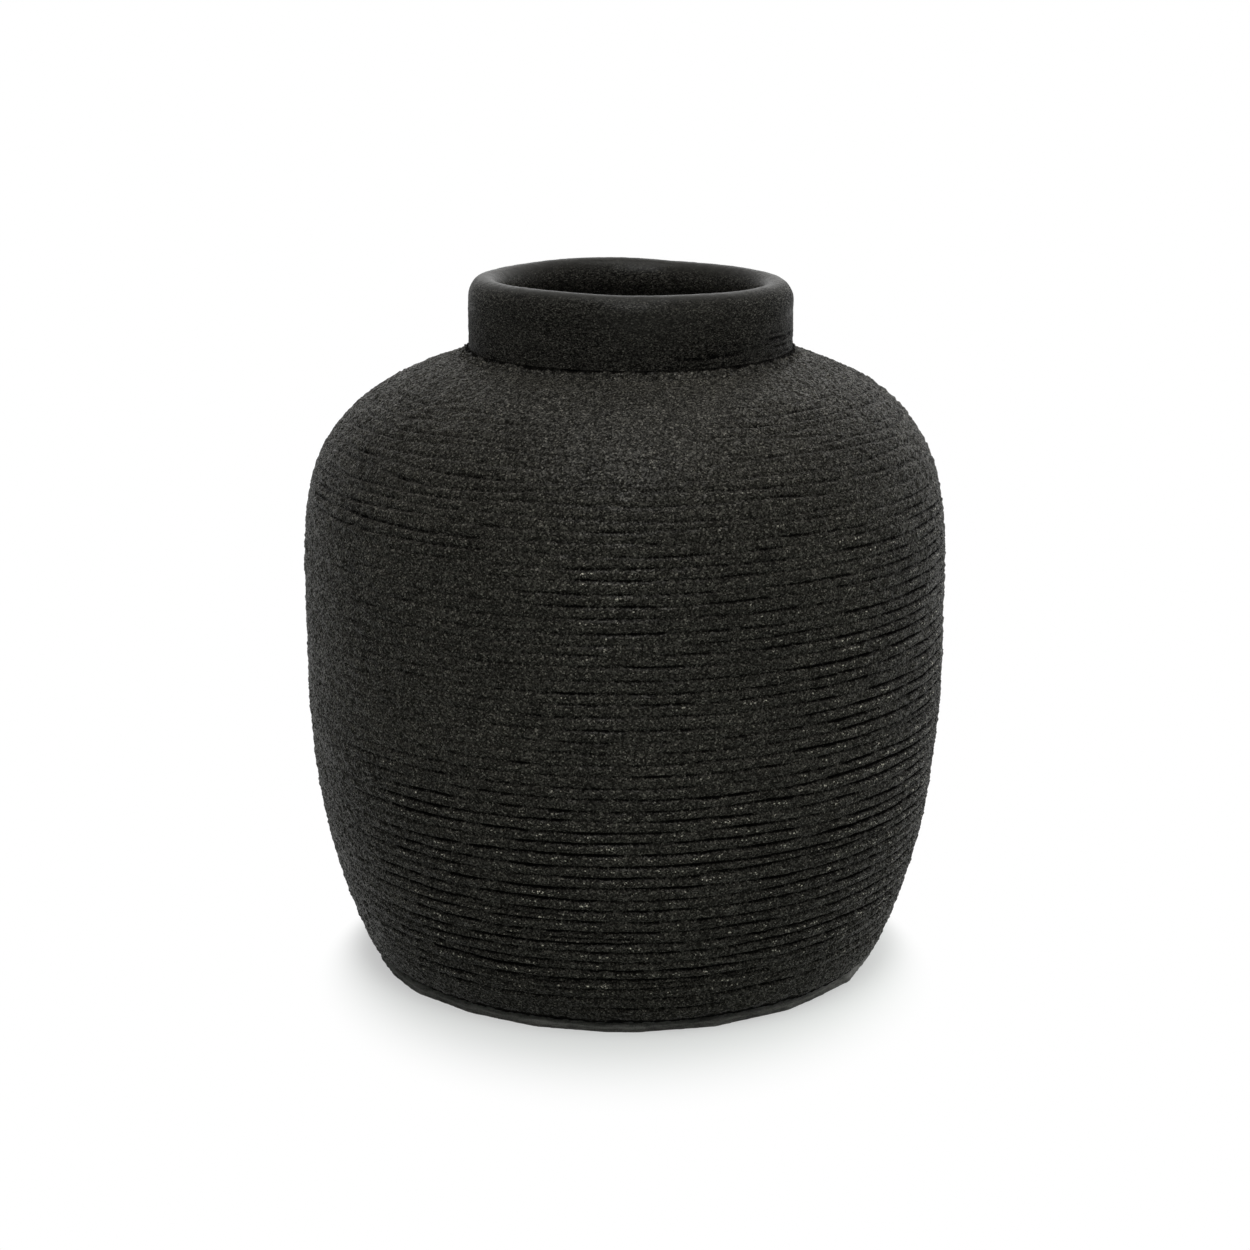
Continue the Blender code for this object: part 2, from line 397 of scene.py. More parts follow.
@dataclass(frozen=True)
class ClayFinish(Finish):
    """Fired black clay with sand in it."""

    name: str
    colour: Colour
    warm_colour: Colour
    grains: float = 1750.0
    grain_flat: float = 1.0
    grain_depth: float = 0.0008
    grain_rise: float = 0.65
    grain_steps: float = 0.4
    dark_grain: float = 0.28
    pale_grain: float = 1.9
    spark: float = 1.8
    spark_range: Span = (0.92, 0.99)
    dust_share: float = 1.2
    dust_depth: float = 0.6
    grit_share: float = 0.62
    grit_weight: float = 0.6
    lump_share: float = 0.40
    lump_depth: float = 0.0012
    lump_tone: float = 0.5
    lump_gloss: Span = (0.4, 1.2)
    patch_scale: float = 24.0
    mottle: float = 0.25
    smear_scale: float = 160.0
    smear: float = 0.2
    speck_colour: Colour = (0.12, 0.108, 0.075)
    speck_grains: float = 1.3
    speck_share: float = 0.002
    speck_reach: float = 0.4
    roughness: float = 0.9
    specular: float = 0.02
    dull_gloss: float = 0.04
    grain_gloss: float = 1.0
    gloss_range: Span = (0.2, 0.95)
    gloss_roughness: float = 0.38
    gloss_index: float = 1.16
    # Painted shade in the comb's lines and wherever the stored mark is above 0, and painted highlight
    # on the lips below the lines
    ragged: float = 2.5
    line_range: Span = (0.38, 0.58)
    line_shade: float = 0.80
    line_depth: float = 0.8
    soft_shade: float = 0.50
    lip_highlight_range: Span = (0.28, 0.54)
    lip_highlight_gain: float = 0.26
    lip_glint_gain: float = 3.4
    wiped_tone: float = 0.85
    wiped_gloss: float = 0.5
    wiped_smooth: float = 0.5

    def _marks(self, graph: NodeGraph) -> ClayMarks:
        """Read the sand and the comb's marks at each place.

        Args:
            graph: Tree to add the nodes to.

        Returns:
            The wires that the finish is made from.
        """
        place = graph.vectors("MULTIPLY", graph.place(), (1.0, 1.0, self.grain_flat))
        from_middle, chance = graph.cells(place, self.grains)
        grit = graph.noise(place, self.grains * self.grit_share, detail=1.0)
        lumps = graph.noise(place, self.grains * self.lump_share, detail=1.0)
        painted_light = graph.stored(PAINTED_LIGHT)
        crumbly = self.grit_weight * grit + (1 - self.grit_weight) * lumps - NOISE_MIDDLE
        return ClayMarks(
            place=place,
            from_middle=from_middle,
            chance=chance,
            dust=graph.noise(place, self.grains * self.dust_share, detail=2.0),
            lumps=lumps,
            patches=graph.noise(place, self.patch_scale, detail=4.0),
            smears=graph.noise(place, self.smear_scale, detail=2.0),
            painted_light=painted_light,
            wiped_and_lit=graph.stored(WIPED_AND_LIT),
            line=graph.ranged(painted_light + self.ragged * crumbly, *self.line_range),
        )

    def _colour(self, graph: NodeGraph, marks: ClayMarks) -> Wire:
        """Colour of the sand and the clay, with painted shade in the comb's lines and hollows and
        painted highlight on the lips below the lines.

        Args:
            graph: Tree to add the nodes to.
            marks: What lies at each place.

        Returns:
            The colour.
        """
        sparks = graph.ranged(marks.chance, *self.spark_range)
        sandy = self.dark_grain + self.pale_grain * marks.chance * marks.chance + self.spark * sparks
        sandy = sandy * (self.lump_tone + marks.lumps)
        # Painted highlight: paler grains on the lip below each line, as if lit from above
        lip = graph.ranged(0 - marks.painted_light, *self.lip_highlight_range)
        tone = sandy + marks.wiped_and_lit * (self.wiped_tone - sandy)
        tone = tone * (1 - self.mottle + 2 * self.mottle * marks.patches)
        tone = tone * (1 - self.smear + 2 * self.smear * marks.smears)
        tone = tone * (1 + lip * (self.lip_highlight_gain + self.lip_glint_gain * sparks))
        # Painted shade: darker wherever the stored mark is above 0, darkest in the lines
        tone = tone * (1 - self.soft_shade * marks.painted_light.at_least(0.0))
        tone = tone * (1 - self.line_shade * marks.line)
        clay = graph.scaled(graph.between(marks.patches, self.colour, self.warm_colour), tone)
        from_middle, chance = graph.cells(marks.place, self.grains * self.speck_grains)
        speck = (chance > 1 - self.speck_share) * (from_middle < self.speck_reach)
        return graph.between(speck, clay, self.speck_colour)

    def _gloss(self, graph: NodeGraph, marks: ClayMarks) -> Wire:
        """How much each grain shines, with none in the comb's lines.

        Args:
            graph: Tree to add the nodes to.
            marks: What lies at each place.

        Returns:
            Weight of the gloss.
        """
        least, gain = self.lump_gloss
        gloss = graph.ranged(marks.chance, *self.gloss_range, self.dull_gloss, self.grain_gloss)
        gloss = gloss * (least + gain * marks.lumps)
        return (gloss + marks.wiped_and_lit * (self.wiped_gloss - gloss)) * (1 - marks.line)

    def _relief(self, graph: NodeGraph, marks: ClayMarks) -> Wire:
        """Relief that is finer than the mesh: lumps, and the grains on them.

        Args:
            graph: Tree to add the nodes to.
            marks: What lies at each place.

        Returns:
            The bumped normal.
        """
        rough = 1 - self.wiped_smooth * marks.wiped_and_lit
        lumpy = graph.bumped(marks.lumps * rough, self.lump_depth, 1.0)
        height = self.grain_rise - marks.from_middle
        height = height + self.dust_depth * marks.dust + self.grain_steps * marks.chance
        height = height * rough - self.line_depth * marks.line
        return graph.bumped(height, self.grain_depth, 1.0, lumpy)

    def sockets(self, graph: NodeGraph) -> dict[str, Any]:
        """Inputs of the clay's shader.

        Args:
            graph: Tree to add the nodes to.

        Returns:
            A value or a wire for each input.
        """
        marks = self._marks(graph)
        return {
            "Base Color": self._colour(graph, marks),
            "Roughness": self.roughness,
            "Specular IOR Level": self.specular,
            "Coat Weight": self._gloss(graph, marks),
            "Coat Roughness": self.gloss_roughness,
            "Coat IOR": self.gloss_index,
            "Normal": self._relief(graph, marks),
        }


@dataclass(frozen=True)
class FeltFinish(Finish):
    """Pressed charcoal felt, with a painted highlight along its cut edge that is strongest on pale
    fibres.
    """

    name: str = "charcoal_felt"
    colour: Colour = (0.085, 0.083, 0.077)
    pale_colour: Colour = (0.215, 0.209, 0.194)
    edge_light_colour: Colour = (0.29, 0.284, 0.266)
    fibres: float = 900.0
    lay: float = 0.22
    loft: float = 1.6
    lint_share: float = 1.7
    fibre_weight: float = 0.6
    lint_depth: float = 0.6
    pile_range: Span = (0.35, 0.7)
    edge_light_least: float = 0.3
    wear_scale: float = 60.0
    wear_tone: float = 0.25
    wear_gloss: float = 0.1
    roughness: float = 0.95
    specular: float = 0.12
    sheen: float = 0.15
    depth: float = 0.0003
    strength: float = 0.8

    def sockets(self, graph: NodeGraph) -> dict[str, Any]:
        """Inputs of the felt's shader.

        Args:
            graph: Tree to add the nodes to.

        Returns:
            A value or a wire for each input.
        """
        place = graph.place()
        lying = graph.vectors("MULTIPLY", place, (self.lay, self.lay, self.loft))
        fibre = graph.noise(lying, self.fibres, detail=4.0)
        lint = graph.noise(place, self.fibres * self.lint_share, detail=3.0)
        wear = graph.noise(place, self.wear_scale, detail=3.0)
        pile = self.fibre_weight * fibre + (1 - self.fibre_weight) * lint
        pale = graph.ranged(pile, *self.pile_range)
        felt = graph.between(pale, self.colour, self.pale_colour)
        # Painted highlight on the cut edge, and painted light on the upper edge that the jar shades
        felt = graph.between(graph.stored(WIPED_AND_LIT) * (self.edge_light_least + pale), felt, self.edge_light_colour)
        felt = graph.scaled(felt, 1 - self.wear_tone + 2 * self.wear_tone * wear)
        return {
            "Base Color": felt,
            "Roughness": self.roughness - self.wear_gloss * wear,
            "Specular IOR Level": self.specular,
            "Sheen Weight": self.sheen,
            "Normal": graph.bumped(fibre + self.lint_depth * lint, self.depth, self.strength),
        }


@dataclass(frozen=True)
class FilmFinish(Finish):
    """Thin adhesive film with a little dust and trapped air in it."""

    name: str = "adhesive_film"
    colour: Colour = (0.50, 0.48, 0.42)
    dusty_colour: Colour = (0.34, 0.32, 0.28)
    roughness: float = 0.42
    dust_scale: float = 220.0
    dust_range: Span = (0.45, 0.7)
    dust_roughness: float = 0.2
    bubble_scale: float = 140.0
    bubble_depth: float = 0.0002
    bubble_strength: float = 0.3

    def sockets(self, graph: NodeGraph) -> dict[str, Any]:
        """Inputs of the film's shader.

        Args:
            graph: Tree to add the nodes to.

        Returns:
            A value or a wire for each input.
        """
        place = graph.place()
        dust = graph.noise(place, self.dust_scale, detail=4.0)
        bubbles, _ = graph.cells(place, self.bubble_scale)
        dusty = graph.ranged(dust, *self.dust_range)
        return {
            "Base Color": graph.between(dusty, self.colour, self.dusty_colour),
            "Roughness": self.roughness + self.dust_roughness * dust,
            "Normal": graph.bumped(bubbles, self.bubble_depth, self.bubble_strength),
        }


WALL_CLAY = ClayFinish("coarse_wall_clay", (0.0350, 0.0336, 0.0285), (0.0395, 0.0374, 0.0312))
NECK_CLAY = ClayFinish(
    "wiped_neck_clay",
    (0.0230, 0.0223, 0.0192),
    (0.0254, 0.0243, 0.0207),
    grain_flat=1.7,
    dark_grain=0.05,
    pale_grain=3.0,
    grain_gloss=0.45,
)
SEAM_CLAY = ClayFinish("crumbled_seam_clay", (0.0340, 0.0327, 0.0278), (0.0384, 0.0364, 0.0304))
RIM_CLAY = replace(
    NECK_CLAY,
    name="smoothed_rim_clay",
    colour=(0.0222, 0.0215, 0.0185),
    warm_colour=(0.0245, 0.0235, 0.0200),
    wiped_gloss=0.85,
    gloss_roughness=0.27,
)
FELT = FeltFinish()
FILM = FilmFinish()


@dataclass
class TurnedMesh:
    """A closed mesh made of rings of points round the jar's axis."""

    name: str
    rings: list[Ring]
    poles: Optional[tuple[tuple[float, ...], tuple[float, ...]]] = None
    skin_start: int = 0
    skin_normals: Optional[np.ndarray] = None
    painted_light: Optional[np.ndarray] = None
    wiped_and_lit: Optional[np.ndarray] = None
    inside_wiped: float = 0.3

    def _corners(self) -> tuple[np.ndarray, np.ndarray]:
        """Corner numbers of the square faces, and the ring that each face starts on.

        Returns:
            Rows of 4 point numbers, and one ring number for each row.
        """
        count = len(self.rings)
        lower = np.arange(count if self.poles is None else count - 1)
        upper = (lower + 1) % count
        column = np.arange(COLUMNS)
        following = (column + 1) % COLUMNS
        faces = np.stack(
            [
                lower[:, None] * COLUMNS + column,
                lower[:, None] * COLUMNS + following,
                upper[:, None] * COLUMNS + following,
                upper[:, None] * COLUMNS + column,
            ],
            axis=-1,
        )
        return faces.reshape(-1, 4), np.repeat(lower, COLUMNS)

    def _fans(self) -> np.ndarray:
        """Corner numbers of the three-sided faces round the two poles.

        Returns:
            Rows of 3 point numbers, with none for a piece that has no poles.
        """
        if self.poles is None:
            return np.zeros((0, 3), int)
        column = np.arange(COLUMNS)
        following = (column + 1) % COLUMNS
        below = len(self.rings) * COLUMNS
        last = (len(self.rings) - 1) * COLUMNS
        bottom = np.stack([np.full(COLUMNS, below), following, column], axis=-1)
        top = np.stack([last + column, last + following, np.full(COLUMNS, below + 1)], axis=-1)
        return np.concatenate([bottom, top])

    def _ring_shares(self) -> np.ndarray:
        """Place of each ring along the bake map's second axis.

        Returns:
            One share for each ring, and one more for the end of the last face.
        """
        middles = np.stack([ring[0] for ring in self.rings])
        lengths = np.linalg.norm(np.roll(middles, -1, axis=0) - middles, axis=1)
        skin = 0 if self.skin_normals is None else len(self.skin_normals)
        on_skin = np.arange(len(self.rings)) - self.skin_start
        inside = (on_skin < 0) | (on_skin >= skin - 1)
        lengths = np.where(inside, lengths * INSIDE_SHARE, lengths)
        if self.poles is not None:
            lengths[-1] = 0.0
        shares = np.concatenate([[0.0], np.cumsum(lengths)])
        margin = 0.0 if self.poles is None else POLE_MARGIN
        return margin + (1 - 2 * margin) * shares / shares[-1]

    def _bake_map(self, mesh: bpy.types.Mesh, starts: np.ndarray) -> None:
        """Lay the faces out flat, so that a bake has an even map of the piece.

        Args:
            mesh: Mesh that gets the map.
            starts: Ring that each square face starts on.
        """
        shares = self._ring_shares()
        column = np.tile(np.arange(COLUMNS), len(starts) // COLUMNS)
        left, right = column / COLUMNS, (column + 1) / COLUMNS
        low, high = shares[starts], shares[starts + 1]
        squares = np.stack([left, low, right, low, right, high, left, high], axis=-1).ravel()
        places = [squares]
        if self.poles is not None:
            left, right = np.arange(COLUMNS) / COLUMNS, np.arange(1, COLUMNS + 1) / COLUMNS
            middle = (left + right) / 2
            low, high = np.full(COLUMNS, shares[0]), np.full(COLUMNS, shares[-1])
            zero, one = np.zeros(COLUMNS), np.ones(COLUMNS)
            places.append(np.stack([middle, zero, right, low, left, low], axis=-1).ravel())
            places.append(np.stack([left, high, right, high, middle, one], axis=-1).ravel())
        layer = mesh.uv_layers.new(name=BAKE_MAP)
        layer.uv.foreach_set("vector", np.concatenate(places).astype(np.float32))

    def _shade(self, mesh: bpy.types.Mesh) -> None:
        """Shade the skin with normals that run on into the next section.

        Args:
            mesh: Mesh that gets the normals.
        """
        if self.skin_normals is None:
            return
        normals = np.zeros((len(mesh.vertices), 3))
        start = self.skin_start * COLUMNS
        flat = self.skin_normals.reshape(-1, 3)
        normals[start : start + len(flat)] = flat
        mesh.normals_split_custom_set_from_vertices(normals.tolist())

    def _mark(
        self, mesh: bpy.types.Mesh, name: str, skin: Optional[np.ndarray], inside: float
    ) -> None:
        """Store a value for each point, which the finish reads.

        Args:
            mesh: Mesh that gets the values.
            name: Name of the values.
            skin: Values on the skin, rows by columns.
            inside: Value on the rest of the piece.
        """
        values = np.full(len(mesh.vertices), inside, np.float32)
        if skin is not None:
            start = self.skin_start * COLUMNS
            values[start : start + skin.size] = skin.ravel()
        mesh.attributes.new(name, "FLOAT", "POINT").data.foreach_set("value", values)

    def build(self) -> bpy.types.Object:
        """Make the mesh and its object.

        Returns:
            The new object, linked to the scene.
        """
        points = np.concatenate(self.rings)
        if self.poles is not None:
            points = np.concatenate([points, np.array(self.poles)])
        squares, starts = self._corners()
        fans = self._fans()
        corners = np.concatenate([squares.ravel(), fans.ravel()]).astype(np.int32)
        offsets = np.concatenate(
            [4 * np.arange(len(squares)), 4 * len(squares) + 3 * np.arange(len(fans))]
        )
        mesh = bpy.data.meshes.new(self.name)
        mesh.vertices.add(len(points))
        mesh.vertices.foreach_set("co", points.astype(np.float32).ravel())
        mesh.loops.add(len(corners))
        mesh.loops.foreach_set("vertex_index", corners)
        mesh.polygons.add(len(offsets))
        mesh.polygons.foreach_set("loop_start", offsets.astype(np.int32))
        mesh.update(calc_edges=True)
        mesh.shade_smooth()
        self._bake_map(mesh, starts)
        self._mark(mesh, PAINTED_LIGHT, self.painted_light, 0.0)
        self._mark(mesh, WIPED_AND_LIT, self.wiped_and_lit, self.inside_wiped)
        self._shade(mesh)
        piece = bpy.data.objects.new(self.name, mesh)
        bpy.context.scene.collection.objects.link(piece)
        return piece


def dress(piece: bpy.types.Object, material: bpy.types.Material, node: str) -> None:
    """Give a piece its finish and put it in the place of its CAD node.

    Args:
        piece: The piece.
        material: Its finish.
        node: The CAD node that the piece stands for.
    """
    piece.data.materials.append(material)
    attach(piece, BODY)
    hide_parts(node)
    LOG.info("%s: %d faces, %s", piece.name, len(piece.data.polygons), material.name)


@dataclass(frozen=True)
class Lumps:
    """Lumps of one size in the clay, longer round the jar than up it by their stretch."""

    size: float
    amount: float
    salt: int
    stretch: float = 1.0


@dataclass
class Grain:
    """Seeded lumps in the clay, on an even grid over the jar's skin."""

    length: float
    spacing: float
    seed: int
    step: float = SKIN_STEP

    def _band(self, lumps: Lumps) -> np.ndarray:
        """Smooth noise of one size.

        Args:
            lumps: The lumps.

        Returns:
            Rows up the skin by columns round it, with mean 0 and deviation 1.
        """
        rows = int(math.ceil(self.length / self.step)) + 2
        chance = np.random.default_rng([self.seed, lumps.salt])
        white = chance.standard_normal((rows, COLUMNS))
        up = np.fft.fftfreq(rows, self.step)[:, None]
        round_jar = np.fft.rfftfreq(COLUMNS, self.spacing)[None, :]
        spread = lumps.size / LUMP_SPREAD
        waves = (up * spread) ** 2 + (round_jar * spread * lumps.stretch) ** 2
        smooth = np.fft.irfft2(np.fft.rfft2(white) * np.exp(-2 * math.pi**2 * waves), white.shape)
        return smooth / smooth.std()

    def over(self, path: np.ndarray, lumps: Lumps) -> np.ndarray:
        """Read the noise of some lumps at places along the skin.

        Args:
            path: Distance of each row along the skin.
            lumps: The lumps.

        Returns:
            Rows at those places by columns, with deviation 1.
        """
        band = self._band(lumps)
        place = np.clip((path - path[0]) / self.step, 0, len(band) - 2)
        row = place.astype(int)
        share = (place - row)[:, None]
        return band[row] * (1 - share) + band[row + 1] * share


def ring_noise(seed: Sequence[int], bumps: int) -> np.ndarray:
    """Smooth noise round the jar.

    Args:
        seed: Numbers that set this noise apart.
        bumps: About how many bumps there are in a turn.

    Returns:
        One value for each column, with mean 0 and deviation 1.
    """
    white = np.random.default_rng(list(seed)).standard_normal(COLUMNS)
    waves = np.arange(COLUMNS // 2 + 1) / bumps
    smooth = np.fft.irfft(np.fft.rfft(white) * np.exp(-(waves**2)), COLUMNS)
    smooth = smooth - smooth.mean()
    return smooth / smooth.std()


@dataclass
class JarLine:
    """Outline of the jar and how the wet clay settled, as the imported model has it."""

    foot_radius: float = 0.1156
    foot_height: float = 0.0040
    heel_round: float = 0.0085
    belly_radius: float = 0.1407
    belly_height: float = 0.1468
    neck_radius: float = 0.0706
    neck_base: float = 0.2709
    rim_top: float = 0.3030
    foot_fullness: float = 2.485
    shoulder_fullness: float = 4.66
    wall: float = 0.0105
    floor_top: float = 0.0170
    floor_seam: float = 0.01315
    shoulder_seam: float = 0.2109
    neck_wall: float = 0.0125
    neck_seat: float = 0.0030
    rim_width: float = 0.0153
    rim_crown: float = 0.0095
    rim_skirt: float = 0.0045
    lap: float = 0.0040
    slip: float = 0.0003
    cap_inset: float = 0.0008
    neck_offset: float = 0.0024
    rim_tilt: float = math.radians(0.85)
    sway_heights: tuple[float, ...] = (0.0, 0.03, 0.09, 0.15, 0.195, 0.25, 0.28)
    sway: tuple[float, ...] = (0.0, -0.0003, -0.0009, -0.0002, 0.0003, -0.0004, 0.0)

    def __post_init__(self) -> None:
        """Work out the reach of the two half curves above and below the belly."""
        flat = 1 - (self.neck_radius / self.belly_radius) ** 2
        self.rise = (self.neck_base - self.belly_height) / flat ** (1 / self.shoulder_fullness)
        flat = 1 - (self.foot_radius / self.belly_radius) ** 2
        self.drop = (self.belly_height - self.foot_height) / flat ** (1 / self.foot_fullness)
        self.mouth = self.neck_radius + self.slip
        self.neck_inside = self.neck_radius - self.neck_wall
        self.seat_height = self.neck_base - self.neck_seat
        self.rim_spring = self.rim_top - self.rim_crown
        self.rim_seam = self.rim_spring - self.rim_skirt

    def radius_at(self, height: np.ndarray, inset: float = 0.0) -> np.ndarray:
        """Radius of the wall.

        Args:
            height: Heights to read it at.
            inset: Distance in from the outside.

        Returns:
            One radius for each height.
        """
        rise = np.asarray(height, float) - self.belly_height
        above = np.clip(rise, 0, None) / (self.rise - inset)
        below = np.clip(-rise, 0, None) / (self.drop - inset)
        share = above**self.shoulder_fullness + below**self.foot_fullness
        return (self.belly_radius - inset) * np.sqrt(np.clip(1 - share, 0, 1))

    def height_at(self, radius: np.ndarray, inset: float = 0.0) -> np.ndarray:
        """Height of the shoulder.

        Args:
            radius: Radii to read it at.
            inset: Distance in from the outside.

        Returns:
            One height for each radius.
        """
        flat = 1 - (np.asarray(radius, float) / (self.belly_radius - inset)) ** 2
        return self.belly_height + (self.rise - inset) * flat ** (1 / self.shoulder_fullness)

    def settled(self, radius: np.ndarray, height: np.ndarray) -> np.ndarray:
        """Points of the jar where the wet clay settled.

        Args:
            radius: Rows by columns, or one radius for each row.
            height: Rows by columns, or one height for each row.

        Returns:
            Rows by columns by 3.
        """
        radius = np.asarray(radius, float)
        height = np.asarray(height, float)
        if radius.ndim == 1:
            radius, height = radius[:, None], height[:, None]
        radius, height, turn = np.broadcast_arrays(radius, height, turns()[None, :])
        across = radius * np.cos(turn) + np.interp(height, self.sway_heights, self.sway)
        across = across + self.neck_offset * eased(height, self.shoulder_seam, self.neck_base)
        leaning = eased(height, self.neck_base, self.rim_spring)
        tilted = height - math.tan(self.rim_tilt) * leaning * (across - self.neck_offset)
        return np.stack([across, radius * np.sin(turn), tilted], axis=-1)

    def rings(self, outline: Outline) -> list[Ring]:
        """Plain rings through an outline of radius and height points."""
        return list(self.settled(*np.array(outline).T))

    def inner_curve(self, start: float, end: float, rows: int) -> Outline:
        """Inside of the wall between two heights.

        Args:
            start: First height.
            end: Last height.
            rows: Number of points.

        Returns:
            Radius and height points.
        """
        heights = np.linspace(start, end, rows)
        return list(zip(self.radius_at(heights, self.wall), heights))

    def cap_above(self, seam: float) -> Outline:
        """Top of a section, from just inside its skin to its inner face.

        Args:
            seam: Height of the seam on the skin.

        Returns:
            Radius and height points.
        """
        outer, inner = seam - self.slip / 2, seam + self.lap - self.slip / 2
        middle = (self.wall + self.slip) / 2
        return [
            (float(self.radius_at(outer, self.cap_inset)), outer),
            (float(self.radius_at(outer, middle)), outer),
            (float(self.radius_at(inner, middle)), inner),
        ]

    def cap_below(self, seam: float) -> Outline:
        """Underside of a section, from its inner face to just inside its skin.

        Args:
            seam: Height of the seam on the skin.

        Returns:
            Radius and height points.
        """
        inner, outer = seam + self.lap + self.slip / 2, seam + self.slip / 2
        middle = (self.wall - self.slip) / 2
        return [
            (float(self.radius_at(inner, middle)), inner),
            (float(self.radius_at(outer, middle)), outer),
            (float(self.radius_at(outer, self.cap_inset)), outer),
        ]


@dataclass
class Skin:
    """A displaced surface of rows up the jar by columns round it."""

    line: JarLine
    radius: np.ndarray
    height: np.ndarray
    lift: np.ndarray = field(init=False)
    painted_light: np.ndarray = field(init=False)
    wiped_and_lit: np.ndarray = field(init=False)

    def __post_init__(self) -> None:
        """Measure the rows, and start with a plain surface."""
        self.lift = np.zeros((len(self.radius), COLUMNS))
        self.painted_light = np.zeros_like(self.lift)
        self.wiped_and_lit = np.zeros_like(self.lift)
        steps = np.hypot(np.diff(self.radius), np.diff(self.height))
        self.path = np.concatenate([[0.0], np.cumsum(steps)])

    @staticmethod
    def through(line: JarLine, parts: list[np.ndarray], rows: list[int]) -> "Skin":
        """Set even rows along each part of a profile.

        Args:
            line: The jar's outline.
            parts: Closely spaced radius and height points, each part from where the last ends.
            rows: Number of steps in each part.

        Returns:
            The plain skin.
        """
        places = []
        for number, (part, count) in enumerate(zip(parts, rows)):
            run = np.concatenate([[0.0], np.cumsum(np.hypot(*np.diff(part, axis=0).T))])
            at = np.linspace(0, run[-1], count + 1)[0 if number == 0 else 1 :]
            places.append(np.stack([np.interp(at, run, part[:, axis]) for axis in (0, 1)], axis=-1))
        return Skin(line, *np.concatenate(places).T)

    def points(self) -> np.ndarray:
        """Settled points of the displaced surface.

        Returns:
            Rows by columns by 3.
        """
        along = np.gradient(np.stack([self.radius, self.height]), self.path, axis=1)
        along = along / np.linalg.norm(along, axis=0)
        radius = self.radius[:, None] + along[1][:, None] * self.lift
        height = self.height[:, None] - along[0][:, None] * self.lift
        return self.line.settled(radius, height)

    def stored(self, rows: slice, normals: np.ndarray) -> dict[str, np.ndarray]:
        """What a mesh stores about some rows of the skin."""
        marks = {"painted_light": self.painted_light[rows], "wiped_and_lit": self.wiped_and_lit[rows]}
        return {"skin_normals": normals[rows], **marks}

    @staticmethod
    def normals(points: np.ndarray) -> np.ndarray:
        """Outward normals of a grid of points.

        Args:
            points: Rows by columns by 3.

        Returns:
            Rows by columns by 3.
        """
        up = np.gradient(points, axis=0)
        across = np.roll(points, -1, axis=1) - np.roll(points, 1, axis=1)
        normals = np.cross(across, up)
        return normals / np.linalg.norm(normals, axis=-1, keepdims=True)


@dataclass(frozen=True)
class CombPatch:
    """Part of the jar where the comb pressed harder or more softly."""

    azimuth: Span
    height: Span
    gain: float
    soft_turn: float = 12.0
    soft_height: float = 0.016

    def share(self, azimuth: np.ndarray, height: float) -> np.ndarray:
        """How far each azimuth is inside the patch at a height.

        Args:
            azimuth: Degrees from the front.
            height: Height of a comb line.

        Returns:
            Shares from 0 to 1.
        """
        turn = within(azimuth, self.azimuth, self.soft_turn)
        return turn * within(np.array(height), self.height, self.soft_height)


@dataclass(frozen=True)
class Score:
    """One long line that a tooth of the comb cut deeper than the rest."""

    height: float
    azimuth: Span
    depth: float
    climb: float = 0.0


